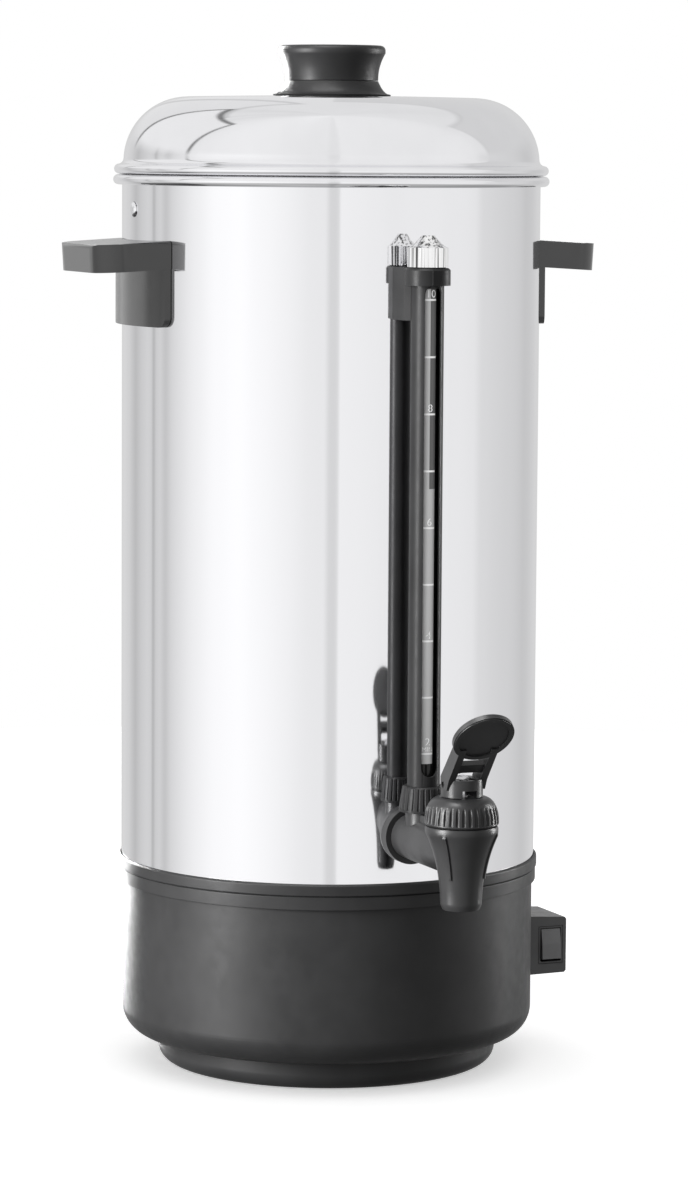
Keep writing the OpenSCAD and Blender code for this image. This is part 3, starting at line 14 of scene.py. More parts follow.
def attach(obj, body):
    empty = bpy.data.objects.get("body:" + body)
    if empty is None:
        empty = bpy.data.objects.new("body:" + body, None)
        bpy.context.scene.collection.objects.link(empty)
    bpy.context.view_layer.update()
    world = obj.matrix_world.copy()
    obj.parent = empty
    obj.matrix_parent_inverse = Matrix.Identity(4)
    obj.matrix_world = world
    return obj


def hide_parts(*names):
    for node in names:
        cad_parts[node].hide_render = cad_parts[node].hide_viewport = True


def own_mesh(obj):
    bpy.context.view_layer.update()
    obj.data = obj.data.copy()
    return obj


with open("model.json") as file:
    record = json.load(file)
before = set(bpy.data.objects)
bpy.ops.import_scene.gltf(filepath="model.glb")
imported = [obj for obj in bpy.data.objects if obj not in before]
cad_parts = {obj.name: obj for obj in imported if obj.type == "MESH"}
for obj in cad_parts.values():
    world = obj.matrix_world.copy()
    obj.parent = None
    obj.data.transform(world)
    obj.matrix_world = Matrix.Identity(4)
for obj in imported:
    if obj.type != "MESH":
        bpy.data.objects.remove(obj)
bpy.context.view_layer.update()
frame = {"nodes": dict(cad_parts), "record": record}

MM = 0.001

# Camera: a long lens a little above the tank's middle, in front and to the left of the tap
LENS = 131.67
CAMERA_PLACE = (-0.8530, -2.1003, 0.4783)
LOOK_SIDE, LOOK_AHEAD = 0.3795, 0.9252
LOOK_DOWN = math.radians(5.992)
ROLL = math.radians(0.369)


def make_camera():
    data = bpy.data.cameras.new("camera")
    data.lens, data.sensor_width = LENS, 36
    camera = bpy.data.objects.new("camera", data)
    bpy.context.scene.collection.objects.link(camera)
    ahead = Vector((
        LOOK_SIDE * math.cos(LOOK_DOWN),
        LOOK_AHEAD * math.cos(LOOK_DOWN),
        -math.sin(LOOK_DOWN),
    ))
    right = ahead.cross(Vector((0, 0, 1))).normalized()
    up = right.cross(ahead)
    right, up = (
        right * math.cos(ROLL) + up * math.sin(ROLL),
        up * math.cos(ROLL) - right * math.sin(ROLL),
    )
    turn = Matrix((right, up, -ahead)).transposed().to_4x4()
    camera.matrix_world = Matrix.Translation(CAMERA_PLACE) @ turn
    bpy.context.scene.camera = camera


# Shader helpers


def new_material(name):
    material = bpy.data.materials.new(name)
    material.use_nodes = True
    tree = material.node_tree
    return material, tree, tree.nodes["Principled BSDF"]


def add(tree, kind, **values):
    """A new node, with its properties and unlinked sockets set by name."""
    node = tree.nodes.new(kind)
    for key, value in values.items():
        if hasattr(node, key):
            setattr(node, key, value)
        else:
            node.inputs[key.replace("_", " ")].default_value = value
    return node


def noise(tree, scale, stretch=(1, 1, 1), detail=3):
    """Noise in the part's own frame, with scale as features a metre."""
    place = add(tree, "ShaderNodeTexCoord")
    mapping = add(tree, "ShaderNodeMapping")
    mapping.inputs["Scale"].default_value = stretch
    texture = add(tree, "ShaderNodeTexNoise", Scale=scale, Detail=detail)
    tree.links.new(place.outputs["Object"], mapping.inputs["Vector"])
    tree.links.new(mapping.outputs["Vector"], texture.inputs["Vector"])
    return texture.outputs["Fac"]


def spread(tree, value, low, high):
    """A 0.3 to 0.7 noise value spread between two numbers."""
    node = add(tree, "ShaderNodeMapRange")
    for key, number in zip(("From Min", "From Max", "To Min", "To Max"), (0.3, 0.7, low, high)):
        node.inputs[key].default_value = number
    tree.links.new(value, node.inputs["Value"])
    return node.outputs["Result"]


# Features a metre in a surface's drift of colour and of roughness
CLOUD_GRAIN, WEAR_GRAIN = 45, 160


def surface(name, colour, shade, roughness, grain, relief, stretch=(1, 1, 1), metallic=0.0, **sockets):
    """A surface with a drifting colour, a varying roughness and a fine relief in mm."""
    material, tree, shader = new_material(name)
    cloud = noise(tree, CLOUD_GRAIN, stretch, 2)
    mix = add(tree, "ShaderNodeMix", data_type="RGBA")
    mix.inputs["A"].default_value = (*colour, 1)
    mix.inputs["B"].default_value = (*shade, 1)
    tree.links.new(spread(tree, cloud, 0, 1), mix.inputs["Factor"])
    tree.links.new(mix.outputs["Result"], shader.inputs["Base Color"])
    low, high = roughness
    wear = noise(tree, WEAR_GRAIN, stretch)
    tree.links.new(spread(tree, wear, low, high), shader.inputs["Roughness"])
    bump = add(tree, "ShaderNodeBump")
    bump.inputs["Distance"].default_value = relief * MM
    bump.inputs["Strength"].default_value = 1
    tree.links.new(noise(tree, grain, stretch), bump.inputs["Height"])
    tree.links.new(bump.outputs["Normal"], shader.inputs["Normal"])
    shader.inputs["Metallic"].default_value = metallic
    for key, number in sockets.items():
        shader.inputs[key.replace("_", " ")].default_value = number
    return material


def grey(level):
    return (level, level, level * 1.02)


# Finish of every material slot: colour, shade it drifts to, roughness range, grain per metre, relief in mm
FINISHES = {
    "mirror_steel": (grey(0.90), grey(0.87), (0.045, 0.07), 900, 0.0012,
                     {"stretch": (1, 1, 0.02), "metallic": 1}),
    "lid_steel": (grey(0.90), grey(0.87), (0.05, 0.08), 900, 0.0012, {"metallic": 1}),
    "satin_steel": (grey(0.66), grey(0.60), (0.38, 0.48), 1200, 0.004, {"metallic": 0.35}),
    "inner_steel": (grey(0.62), grey(0.56), (0.25, 0.38), 1200, 0.006, {"metallic": 1}),
    "bare_screws": (grey(0.66), grey(0.58), (0.2, 0.34), 1500, 0.008, {"metallic": 1}),
    "knob_black": (grey(0.009), grey(0.012), (0.36, 0.48), 2600, 0.01, {"Specular_IOR_Level": 0.1}),
    "handle_black": (grey(0.012), grey(0.016), (0.14, 0.20), 1800, 0.002, {"Specular_IOR_Level": 0.85}),
    "gauge_black": (grey(0.008), grey(0.011), (0.34, 0.44), 2600, 0.01, {"Specular_IOR_Level": 0.05}),
    "rubber_black": (grey(0.016), grey(0.022), (0.6, 0.75), 2200, 0.015, {}),
    "silicone_red": ((0.36, 0.05, 0.03), (0.30, 0.04, 0.03), (0.5, 0.6), 2200, 0.010, {}),
    "silicone_clear": (grey(0.62), grey(0.55), (0.35, 0.5), 1800, 0.008, {}),
    "tap_black": (grey(0.012), grey(0.016), (0.30, 0.40), 2400, 0.012, {"Specular_IOR_Level": 0.18}),
    "base_black": (grey(0.009), grey(0.012), (0.42, 0.52), 2200, 0.012, {"Specular_IOR_Level": 0.13}),
    "switch_grey": (grey(0.020), grey(0.026), (0.35, 0.48), 2400, 0.012, {}),
    "switch_black": (grey(0.012), grey(0.016), (0.35, 0.5), 2400, 0.012, {}),
    "rocker_grey": (grey(0.060), grey(0.075), (0.3, 0.42), 2400, 0.010, {}),
    "reset_red": ((0.42, 0.02, 0.015), (0.36, 0.02, 0.012), (0.25, 0.35), 2000, 0.008, {}),
    "plate_aluminium": (grey(0.55), grey(0.48), (0.4, 0.55), 900, 0.03, {"metallic": 1}),
    "element_steel": (grey(0.30), (0.34, 0.27, 0.2), (0.35, 0.5), 1500, 0.010, {"metallic": 1}),
    "ceramic": (grey(0.72), grey(0.66), (0.5, 0.65), 1500, 0.012, {}),
    "brass_lugs": ((0.70, 0.48, 0.16), (0.60, 0.40, 0.14), (0.28, 0.4), 1500, 0.006, {"metallic": 1}),
    "copper_bulb": ((0.66, 0.27, 0.15), (0.52, 0.20, 0.12), (0.28, 0.42), 1500, 0.006, {"metallic": 1}),
    "wire_blue": ((0.02, 0.06, 0.36), (0.02, 0.05, 0.30), (0.4, 0.5), 2200, 0.006, {}),
    "wire_red": ((0.38, 0.02, 0.02), (0.30, 0.02, 0.02), (0.4, 0.5), 2200, 0.006, {}),
    "wire_yellow": ((0.60, 0.44, 0.04), (0.52, 0.38, 0.04), (0.4, 0.5), 2200, 0.006, {}),
}
MATERIALS = {name: surface(name, *facts[:5], **facts[5]) for name, facts in FINISHES.items()}


# Painted light of the sight glass from left to right: a pale painted reflection at the left and painted
# shade at the right above the water line, and paler painted light all over below it
# They were tuned against greys read along a row of the photo: an open failure.
GLASS_PAINTED_HIGH = [(0, 0.01), (0.10, 0.42), (0.44, 0.54), (0.46, 0.11), (0.78, 0.14), (0.80, 0.008), (1, 0.01)]
GLASS_PAINTED_LOW = [(0, 0.01), (0.10, 0.44), (0.40, 0.56), (0.64, 0.50), (0.78, 0.42), (0.80, 0.008), (1, 0.01)]
# Heights of the water line, under which the painted light turns paler, and of the glass's end, under which
# it is near black
GLASS_CHANGE_Z, GLASS_END_Z = 308.0, 172.0
GLASS_HALF_W = 4.6


def tone_ramp(tree, factor, tones):
    """Greys by a factor, from pairs of position and level."""
    ramp = add(tree, "ShaderNodeValToRGB")
    stops = ramp.color_ramp.elements
    while len(stops) < len(tones):
        stops.new(1)
    for stop, (position, level) in zip(stops, tones):
        stop.position, stop.color = position, (level, level, level, 1)
    tree.links.new(factor, ramp.inputs["Fac"])
    return ramp.outputs["Color"]


def make_glass():
    """Gauge glass with light painted into its colour: a pale painted reflection at the left and painted
    shade at the right, paler painted light all over below the water line.
    """
    material, tree, shader = new_material("gauge_glass")
    place = add(tree, "ShaderNodeTexCoord")
    parts = add(tree, "ShaderNodeSeparateXYZ")
    tree.links.new(place.outputs["Object"], parts.inputs["Vector"])
    across = add(tree, "ShaderNodeMapRange")
    across.inputs["From Min"].default_value = -GLASS_HALF_W * MM
    across.inputs["From Max"].default_value = GLASS_HALF_W * MM
    tree.links.new(parts.outputs["X"], across.inputs["Value"])
    # Painted reflection and shade across the glass, and paler painted light below the water line
    tones = tone_ramp(tree, across.outputs["Result"], GLASS_PAINTED_HIGH)
    pale = tone_ramp(tree, across.outputs["Result"], GLASS_PAINTED_LOW)
    for height, lower in ((GLASS_CHANGE_Z, pale), (GLASS_END_Z, None)):
        mix = add(tree, "ShaderNodeMix", data_type="RGBA")
        mix.inputs["B"].default_value = (0.01, 0.01, 0.01, 1)
        below = add(tree, "ShaderNodeMath", operation="LESS_THAN")
        below.inputs[1].default_value = height * MM
        tree.links.new(parts.outputs["Z"], below.inputs[0])
        tree.links.new(below.outputs["Value"], mix.inputs["Factor"])
        tree.links.new(tones, mix.inputs["A"])
        if lower:
            tree.links.new(lower, mix.inputs["B"])
        tones = mix.outputs["Result"]
    tree.links.new(tones, shader.inputs["Base Color"])
    shader.inputs["IOR"].default_value = 1.47
    shader.inputs["Specular IOR Level"].default_value = 0.3
    tree.links.new(spread(tree, noise(tree, 60), 0.04, 0.1), shader.inputs["Roughness"])
    return material


# Painted reflections of the chrome cap: greys from dark to light along upright streaks
CAP_PAINTED_REFLECTIONS = [(0.36, 0.10), (0.46, 0.62), (0.52, 0.95), (1, 0.95)]


def make_cap_chrome():
    """Chrome with painted reflections: fine upright streaks of light and dark painted into its colour by
    turns.
    """
    material, tree, shader = new_material("cap_chrome")
    # Upright streaks of painted reflection in the colour, light and dark by turns
    painted_streaks = noise(tree, 760, (1, 1, 0.02), 1)
    tree.links.new(tone_ramp(tree, painted_streaks, CAP_PAINTED_REFLECTIONS), shader.inputs["Base Color"])
    tree.links.new(spread(tree, noise(tree, 300), 0.06, 0.12), shader.inputs["Roughness"])
    shader.inputs["Metallic"].default_value = 1
    return material


MATERIALS["gauge_glass"] = make_glass()
MATERIALS["cap_chrome"] = make_cap_chrome()


def dress_cad_nodes():
    for subpart in frame["record"]["subparts"]:
        node = frame["nodes"][subpart["node"]]
        node.data.materials.clear()
        node.data.materials.append(MATERIALS[subpart["material_slot"]])


DARK_SLOTS = ("knob_black", "handle_black", "gauge_black", "tap_black", "base_black", "switch_grey",
              "switch_black", "rocker_grey")
DARK_PIECES = []


# Studio: brightness by azimuth from the camera in degrees (+ is its right)
# The levels were worked out from the photo's greys along rows of the tank: an open failure.
STUDIO = [
    (-180, 0.66), (-157, 0.72), (-146, 0.69), (-135, 0.55), (-127, 0.66), (-120, 0.73), (-115.5, 0.70),
    (-113.5, 0.48), (-111, 0.68), (-107, 0.72), (-102, 0.61), (-97, 0.74), (-87, 0.87), (-79, 0.98),
    (-66, 1.08), (-50, 1.10), (-33, 1.05), (-13, 0.93), (-2, 0.91), (-0.8, 0.75), (4, 0.74), (5.4, 0.97),
    (30, 0.92), (72, 0.91), (86, 0.87), (91, 0.78), (102, 0.745), (120, 0.70), (135, 0.62), (145, 0.64),
    (158, 0.69), (180, 0.66),
]
# Panels higher up: middle and half width in azimuth, the same in height, brightness, darkness of the edge
# Their places follow the edges that the photo's lid mirrors
PANELS = [
    (140, 42, 10, 38, 0.70, 0.12),
    (-142, 29, 20, 36, 0.82, 0.22),
    (-115, 28, 20, 34, 0.90, 0.72),
]
PANEL_FADE = (-1.5, 0.5)
PANEL_EDGE = (0.3, 2.2)
# Brightness of the ceiling, its share over the azimuths' own, and the share of light left towards the floor
CEILING, CEILING_SHARE, BELOW = 0.88, 0.7, 0.5
# Heights in degrees between which the upper room and the floor's part fade in
UPPER_FADE = (5, 16)
BELOW_FADE = (-40, -14)


def math_node(tree, operation, *inputs):
    """A math node over sockets and plain numbers."""
    node = add(tree, "ShaderNodeMath", operation=operation)
    for socket, value in zip(node.inputs, inputs):
        if isinstance(value, (int, float)):
            socket.default_value = value
        else:
            tree.links.new(value, socket)
    return node.outputs["Value"]


def smooth_step(tree, value, start, end):
    node = add(tree, "ShaderNodeMapRange", interpolation_type="SMOOTHSTEP")
    node.inputs["From Min"].default_value = start
    node.inputs["From Max"].default_value = end
    tree.links.new(value, node.inputs["Value"])
    return node.outputs["Result"]


def blend(tree, factor, start, end):
    """One value faded to another by a factor."""
    change = math_node(tree, "SUBTRACT", end, start)
    return math_node(tree, "MULTIPLY_ADD", change, factor, start)


def add_panel(tree, level, turn, tilt, panel):
    """Lays a softbox with a thin dark edge over the studio's brightness."""
    turn_mid, turn_half, tilt_mid, tilt_half, bright, dark = panel
    across = math_node(tree, "ABSOLUTE", math_node(tree, "SUBTRACT", turn, turn_mid))
    along = math_node(tree, "ABSOLUTE", math_node(tree, "SUBTRACT", tilt, tilt_mid))
    outside = math_node(
        tree, "MAXIMUM",
        math_node(tree, "SUBTRACT", across, turn_half),
        math_node(tree, "SUBTRACT", along, tilt_half),
    )
    inside = math_node(tree, "SUBTRACT", 1, smooth_step(tree, outside, *PANEL_FADE))
    level = blend(tree, inside, level, bright)
    far = smooth_step(tree, math_node(tree, "ABSOLUTE", outside), *PANEL_EDGE)
    edge = math_node(tree, "MULTIPLY_ADD", far, dark, 1 - dark)
    return math_node(tree, "MULTIPLY", level, edge)


def look_angles(tree):
    """A direction's azimuth from the camera and its height above level, in degrees."""
    place = add(tree, "ShaderNodeTexCoord").outputs["Generated"]
    parts = []
    for axis in ((LOOK_AHEAD, -LOOK_SIDE, 0), (-LOOK_SIDE, -LOOK_AHEAD, 0)):
        dot = add(tree, "ShaderNodeVectorMath", operation="DOT_PRODUCT")
        dot.inputs[1].default_value = axis
        tree.links.new(place, dot.inputs[0])
        parts.append(dot.outputs["Value"])
    turn = math_node(tree, "DEGREES", math_node(tree, "ARCTAN2", *parts))
    height = add(tree, "ShaderNodeSeparateXYZ")
    tree.links.new(place, height.inputs["Vector"])
    tilt = math_node(tree, "DEGREES", math_node(tree, "ARCSINE", height.outputs["Z"]))
    return turn, tilt


def room_level(tree):
    """Brightness of the room: by azimuth, under a ceiling with panels, and less towards the floor."""
    turn, tilt = look_angles(tree)
    stops = [((degrees + 180) / 360, level) for degrees, level in STUDIO]
    around = tone_ramp(tree, math_node(tree, "MULTIPLY_ADD", turn, 1 / 360, 0.5), stops)
    low = math_node(tree, "MULTIPLY", around, 1)
    high = blend(tree, CEILING_SHARE, low, CEILING)
    for panel in PANELS:
        high = add_panel(tree, high, turn, tilt, panel)
    level = blend(tree, smooth_step(tree, tilt, *UPPER_FADE), low, high)
    return math_node(tree, "MULTIPLY", level, blend(tree, smooth_step(tree, tilt, *BELOW_FADE), BELOW, 1))


def make_world():
    """White to the camera, and the studio's room to everything else."""
    world = bpy.data.worlds.new("studio")
    world.use_nodes = True
    bpy.context.scene.world = world
    tree = world.node_tree
    tree.nodes.clear()
    room = add(tree, "ShaderNodeBackground")
    tree.links.new(room_level(tree), room.inputs["Color"])
    white = add(tree, "ShaderNodeBackground", Color=(1, 1, 1, 1))
    path = add(tree, "ShaderNodeLightPath")
    mix = add(tree, "ShaderNodeMixShader")
    tree.links.new(path.outputs["Is Camera Ray"], mix.inputs["Fac"])
    tree.links.new(room.outputs["Background"], mix.inputs[1])
    tree.links.new(white.outputs["Background"], mix.inputs[2])
    out = add(tree, "ShaderNodeOutputWorld")
    tree.links.new(mix.outputs["Shader"], out.inputs["Surface"])


# Floor: radius in metres, drop under the foot in mm, grey, and glow to the camera
FLOOR_R, FLOOR_DROP, FLOOR_GREY, FLOOR_GLOW = 1.3, 0.2, 0.92, 0.45


def make_floor():
    bpy.ops.mesh.primitive_circle_add(vertices=96, radius=FLOOR_R, fill_type="NGON")
    floor = bpy.context.object
    floor.name = "floor"
    floor.location.z = -FLOOR_DROP * MM
    material, tree, shader = new_material("floor")
    shader.inputs["Base Color"].default_value = (FLOOR_GREY, FLOOR_GREY, FLOOR_GREY, 1)
    shader.inputs["Roughness"].default_value = 0.9
    shader.inputs["Specular IOR Level"].default_value = 0
    path = add(tree, "ShaderNodeLightPath")
    seen = add(tree, "ShaderNodeMath", operation="MAXIMUM")
    tree.links.new(path.outputs["Is Camera Ray"], seen.inputs[0])
    tree.links.new(path.outputs["Is Glossy Ray"], seen.inputs[1])
    glow = add(tree, "ShaderNodeMath", operation="MULTIPLY")
    glow.inputs[1].default_value = FLOOR_GLOW
    tree.links.new(seen.outputs["Value"], glow.inputs[0])
    shader.inputs["Emission Color"].default_value = (1, 1, 1, 1)
    tree.links.new(glow.outputs["Value"], shader.inputs["Emission Strength"])
    floor.data.materials.append(material)
    floor.visible_glossy = False


def add_lamp(name, azimuth, distance, height, size, power, aim_z=0.22):
    """A softbox at an azimuth from the camera in degrees, + to its right."""
    data = bpy.data.lights.new(name, "AREA")
    data.shape, data.size, data.size_y, data.energy = "RECTANGLE", *size, power
    lamp = bpy.data.objects.new(name, data)
    bpy.context.scene.collection.objects.link(lamp)
    turn = math.radians(azimuth)
    near, side = math.cos(turn) * distance, math.sin(turn) * distance
    place = Vector((
        LOOK_AHEAD * side - LOOK_SIDE * near,
        -LOOK_SIDE * side - LOOK_AHEAD * near,
        height,
    ))
    lamp.location = place
    lamp.rotation_mode = "QUATERNION"
    lamp.rotation_quaternion = (Vector((0, 0, aim_z)) - place).to_track_quat("-Z", "Y")
    lamp.visible_camera = False
    return lamp


# Softboxes that shine on satin or glossy plastic alone: azimuth, distance, height, size, power
SATIN_LAMPS = {
    "strip_left": (-59, 1.6, 0.45, (0.40, 1.3), 150),
    "strip_rim": (-150, 1.6, 0.45, (0.30, 1.3), 110),
    "strip_right": (112, 1.6, 0.45, (0.25, 1.2), 35),
    "satin_top": (-30, 0.5, 1.9, (0.9, 0.9), 50),
}
GLOSSY_LAMPS = {
    "soft_left": (-132, 1.6, 0.6, (1.1, 1.2), 1.7),
    "glossy_top": (180, 1.5, 1.5, (1.6, 0.8), 22),
}


def make_studio():
    """The room, its floor and softboxes that shine on the dark plastic alone."""
    bpy.context.scene.view_settings.view_transform = "Standard"
    make_world()
    make_floor()
    satin = bpy.data.collections.new("satin_pieces")
    glossy = bpy.data.collections.new("glossy_pieces")
    for pieces, lamps in ((satin, SATIN_LAMPS), (glossy, GLOSSY_LAMPS)):
        for name, facts in lamps.items():
            add_lamp(name, *facts).light_linking.receiver_collection = pieces
    return satin, glossy


def light_dark_pieces(satin, glossy):
    """Puts every piece of dark plastic under the softboxes for its gloss."""
    slots = {part["node"]: part["material_slot"] for part in frame["record"]["subparts"]}
    pieces = [(node, slots.get(name)) for name, node in frame["nodes"].items()] + DARK_PIECES
    for piece, slot in pieces:
        if slot == "handle_black":
            glossy.objects.link(piece)
        elif slot in DARK_SLOTS:
            satin.objects.link(piece)


# Mesh helpers


def make_piece(name, points, faces, slot, body="root", replaces=(), sharp=32, material=None):
    """A mesh piece from points in mm and faces, smooth except at edges sharper than an angle."""
    mesh = bpy.data.meshes.new(name)
    mesh.from_pydata([[x * MM for x in p] for p in points], [], faces)
    edit = bmesh.new()
    edit.from_mesh(mesh)
    bmesh.ops.recalc_face_normals(edit, faces=edit.faces)
    edit.to_mesh(mesh)
    edit.free()
    mesh.shade_smooth()
    mesh.set_sharp_from_angle(angle=math.radians(sharp))
    mesh.materials.append(material or MATERIALS[slot])
    piece = bpy.data.objects.new(name, mesh)
    bpy.context.scene.collection.objects.link(piece)
    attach(piece, body)
    if slot in DARK_SLOTS:
        DARK_PIECES.append((piece, slot))
    if replaces:
        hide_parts(*replaces)
    return piece


def arc(cx, cy, radius, start, end, n=10):
    """Points of an arc about a centre, from one angle to another in degrees."""
    angles = [math.radians(start + (end - start) * i / n) for i in range(n + 1)]
    return [(cx + radius * math.cos(a), cy + radius * math.sin(a)) for a in angles]


def turned(name, profile, slot, steps=160, closed=False, **facts):
    """A turned piece from a profile of (radius, height) in mm. A closed profile makes a ring."""
    points, faces, rings = [], [], []
    for radius, height in profile:
        if radius < 1e-6:
            rings.append([len(points)] * steps)
            points.append((0, 0, height))
            continue
        rings.append(list(range(len(points), len(points) + steps)))
        for i in range(steps):
            turn = 2 * math.pi * i / steps
            points.append((radius * math.cos(turn), radius * math.sin(turn), height))
    pairs = list(zip(rings, rings[1:])) + ([(rings[-1], rings[0])] if closed else [])
    for low, high in pairs:
        for i in range(steps):
            j = (i + 1) % steps
            corners = list(dict.fromkeys((low[i], low[j], high[j], high[i])))
            if len(corners) > 2:
                faces.append(corners)
    return make_piece(name, points, faces, slot, **facts)


# Turned steel: tank and lid


def bend(start, end, power, n=12):
    """Points between two ends, bent by a power of the height."""
    return [
        (start[0] + (end[0] - start[0]) * (i / n) ** power, start[1] + (end[1] - start[1]) * i / n)
        for i in range(n + 1)
    ]


TANK_R, TANK_WALL, TANK_LOW, RIM_Z = 107.5, 0.8, 99.0, 457.3
RIM_RING_R, RIM_BEAD_R, RIM_BEAD_END = 109.45, 2.6, 175


def make_tank():
    join = math.degrees(math.acos((RIM_RING_R - TANK_R) / RIM_BEAD_R))
    bead = arc(RIM_RING_R, RIM_Z, RIM_BEAD_R, join - 180, RIM_BEAD_END, 28)
    inner = TANK_R - TANK_WALL
    heights = [TANK_LOW + (bead[0][1] - TANK_LOW) * i / 6 for i in range(7)]
    outside = [(TANK_R, z) for z in heights[:-1]]
    inside = [(inner, z) for z in heights[:0:-1]]
    profile = [(inner, TANK_LOW)] + outside + bead + inside
    wall = turned("tank_wall", profile, "mirror_steel", 288, closed=True, replaces=("tank_shell",))
    wall.data.materials.append(MATERIALS["satin_steel"])
    for face in wall.data.polygons:
        if math.hypot(*face.center[:2]) < (inner + TANK_WALL / 2) * MM:
            face.material_index = 1


LID_SIDE_R, LID_WALL = 106.8, 0.8
LID_RING_R, LID_BEAD_R, LID_BEAD_Z = 109.1, 2.5, 462.7
SHOULDER_R, SHOULDER_Z, SHOULDER_BEND = 73.8, 466.6, 33.0
CROWN_Z, CROWN_BULGE = 500.4, 0.8
FLARE_R, FLARE_END = 3.0, 182
# Degrees between the flare's end and the shoulder's start
SHOULDER_GAP = 0.3


def lid_line(wall, start):
    """The lid's line up its shoulder and in over its crown, drawn in by a wall."""
    shoulder = arc(SHOULDER_R, SHOULDER_Z, SHOULDER_BEND - wall, start, 90, 30)
    crown = [1 - i / 10 for i in range(1, 11)]
    return shoulder + [(SHOULDER_R * t, CROWN_Z - wall - CROWN_BULGE * t * t) for t in crown]


def make_lid():
    across = LID_SIDE_R + FLARE_R - LID_RING_R
    rise = math.sqrt((FLARE_R + LID_BEAD_R) ** 2 - across ** 2)
    meet = math.degrees(math.atan2(rise, across))
    bead = arc(LID_RING_R, LID_BEAD_Z, LID_BEAD_R, -180, meet, 28)
    flare = arc(LID_RING_R + across, LID_BEAD_Z + rise, FLARE_R, 180 + meet, FLARE_END, 10)[1:]
    start = math.degrees(math.asin((LID_BEAD_Z + rise - SHOULDER_Z) / SHOULDER_BEND)) + SHOULDER_GAP
    profile = bead + flare + lid_line(0, start) + lid_line(LID_WALL, 0)[::-1]
    profile.append((LID_SIDE_R - LID_WALL, LID_BEAD_Z))
    turned("lid_dome", profile, "lid_steel", 288, closed=True, body="lid", replaces=("lid_shell",))


KNOB_R, KNOB_JOINT_R, KNOB_FOOT_R = 27.4, 23.7, 30.3
KNOB_JOINT_Z, KNOB_TOP_Z, KNOB_EDGE = 508.3, 526.1, 2.6
# Small steps in at the knob's foot and at the parting line, and how hard its two sides bend
FOOT_RISE, FOOT_STEP, LINE_DROP, LINE_STEP = 0.7, 0.3, 0.3, 0.4
SKIRT_BEND, GRIP_BEND = 0.45, 2.2


def make_knob():
    low, high = (KNOB_FOOT_R, CROWN_Z + FOOT_RISE), (KNOB_JOINT_R, KNOB_JOINT_Z - LINE_DROP)
    skirt = [(0, CROWN_Z), (KNOB_FOOT_R - FOOT_STEP, CROWN_Z)]
    skirt += bend(low, high, SKIRT_BEND, 18) + [(0, high[1])]
    turned("knob_foot", skirt, "knob_black", 128, body="lid", replaces=("knob_skirt",))
    low, high = (KNOB_JOINT_R, KNOB_JOINT_Z), (KNOB_R, KNOB_TOP_Z - 1.5 * KNOB_EDGE)
    grip = [(0, KNOB_JOINT_Z), (KNOB_JOINT_R - LINE_STEP, KNOB_JOINT_Z)] + bend(low, high, GRIP_BEND, 18)
    grip += arc(KNOB_R - KNOB_EDGE, KNOB_TOP_Z - KNOB_EDGE, KNOB_EDGE, 0, 90, 10) + [(0, KNOB_TOP_Z)]
    turned("knob_top", grip, "knob_black", 128, body="lid", replaces=("knob_grip",))


# Gauge: printed marks wrapped round the glass

GAUGE_Y, GLASS_R = -126.0, 5.0
MARK_LOW_Z, MARK_STEP = 177.0, 27.95
MARK_SKIN = 0.04
# Printed litre lines, numbers and words: their sizes, place across the glass and height over a line
LINE_W, LINE_T, LINE_X = 7.0, 0.95, -0.8
NUMBER_H, MAX_H, MIN_H, WORD_X = 3.7, 1.9, 2.3, -0.2
OVER_LINE, UNDER_MIN, OVER_MIN, OVER_NUMBER = 1.2, 1.1, 4.2, 5.4
LOW_LITRE, TOP_LITRE = 2, 10


# Height of the font's figures and capitals as a share of its size
CAPITAL_SHARE = 0.7


def letters(words, height):
    """Flat shapes of words as points in mm and faces, centred across and standing on zero."""
    curve = bpy.data.curves.new("letters", "FONT")
    curve.body, curve.size, curve.align_x = words, height / CAPITAL_SHARE, "CENTER"
    curve.resolution_u = 6
    shape = bpy.data.objects.new("letters", curve)
    bpy.context.scene.collection.objects.link(shape)
    mesh = shape.evaluated_get(bpy.context.evaluated_depsgraph_get()).to_mesh()
    points = [tuple(vertex.co[:2]) for vertex in mesh.vertices]
    faces = [tuple(face.vertices) for face in mesh.polygons]
    bpy.data.objects.remove(shape)
    bpy.data.curves.remove(curve)
    return points, faces


def bar(width, height, n=6):
    """A flat bar as points and faces, cut across so that it can be bent."""
    points = [(width * (i / n - 0.5), side * height / 2) for i in range(n + 1) for side in (-1, 1)]
    faces = [(2 * i, 2 * i + 2, 2 * i + 3, 2 * i + 1) for i in range(n)]
    return points, faces


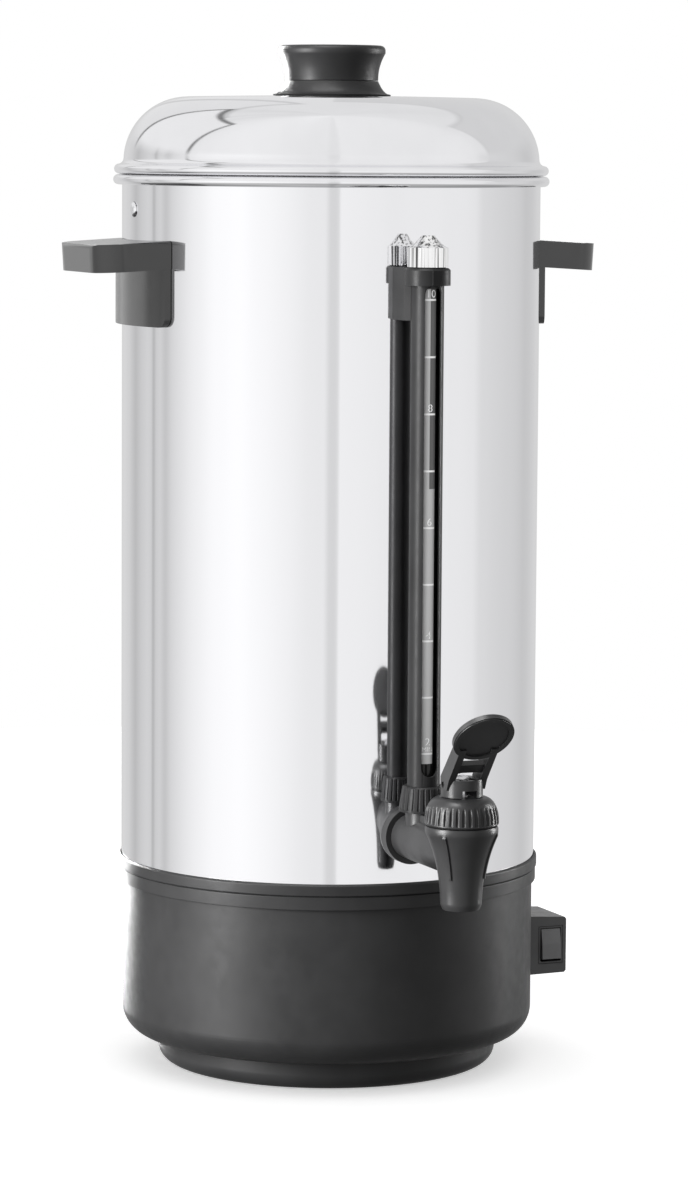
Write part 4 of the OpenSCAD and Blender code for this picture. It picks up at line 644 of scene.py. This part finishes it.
def make_marks():
    """White litre lines, with a number at each second one."""
    points, faces = [], []

    def print_at(shape, x, z):
        start = len(points)
        for across, up in shape[0]:
            turn = (across + x) / GLASS_R
            r = GLASS_R + MARK_SKIN
            points.append((r * math.sin(turn), GAUGE_Y - r * math.cos(turn), z + up))
        faces.extend(tuple(start + k for k in face) for face in shape[1])

    for litre in range(LOW_LITRE, TOP_LITRE + 1):
        z = MARK_LOW_Z + MARK_STEP * (litre - LOW_LITRE)
        print_at(bar(LINE_W, LINE_T), LINE_X, z)
        if litre % 2 == 0:
            rise = OVER_MIN if litre == LOW_LITRE else OVER_LINE
            print_at(letters(str(litre), NUMBER_H), WORD_X, z + rise)
    print_at(letters("MAX", MAX_H), WORD_X, z + OVER_NUMBER)
    print_at(letters("MIN", MIN_H), WORD_X, MARK_LOW_Z + UNDER_MIN)
    make_piece("gauge_marks", points, faces, "gauge_glass", material=mark_white())


def mark_white():
    material, tree, shader = new_material("mark_white")
    shader.inputs["Base Color"].default_value = (0.95, 0.95, 0.95, 1)
    tree.links.new(spread(tree, noise(tree, 900), 0.4, 0.55), shader.inputs["Roughness"])
    return material


# Round the sharp edges of CAD nodes: width in mm by node
EDGES = {
    "handle_left": 0.7, "handle_right": 0.7, "gauge_bracket": 0.6, "gauge_nut": 0.3, "gauge_cap": 0.3,
    "tap_body": 0.5, "tap_flange": 0.6, "tap_bonnet": 0.3, "tap_lever": 0.7, "base_collar": 0.3,
    "switch_housing": 1.0, "switch_body": 0.3, "switch_rocker": 0.4, "gauge_guard": 0.2,
    "base_foot": 0.3, "inlet_socket": 0.5, "cutout_breaker": 0.3,
}


CREASE = math.radians(38)


def soften(node, width):
    """Rounds a node's sharp edges. The handles' thin rims keep their creases instead of blended normals."""
    weld = node.modifiers.new("weld", "WELD")
    weld.merge_threshold = 1e-6
    bevel = node.modifiers.new("bevel", "BEVEL")
    bevel.width, bevel.segments = width * MM, 3
    bevel.limit_method, bevel.angle_limit = "ANGLE", CREASE
    if node.name.startswith("handle"):
        node.modifiers.new("creases", "EDGE_SPLIT").split_angle = CREASE
        return
    normals = node.modifiers.new("normals", "WEIGHTED_NORMAL")
    normals.keep_sharp = True


def soften_cad_nodes():
    for name, width in EDGES.items():
        soften(frame["nodes"][name], width)


def shorten_spring():
    spring = frame["nodes"]["tap_spring"]
    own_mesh(spring)


make_camera()
dress_cad_nodes()
satin, glossy = make_studio()
make_tank()
make_lid()
make_knob()
make_marks()
soften_cad_nodes()
shorten_spring()
light_dark_pieces(satin, glossy)
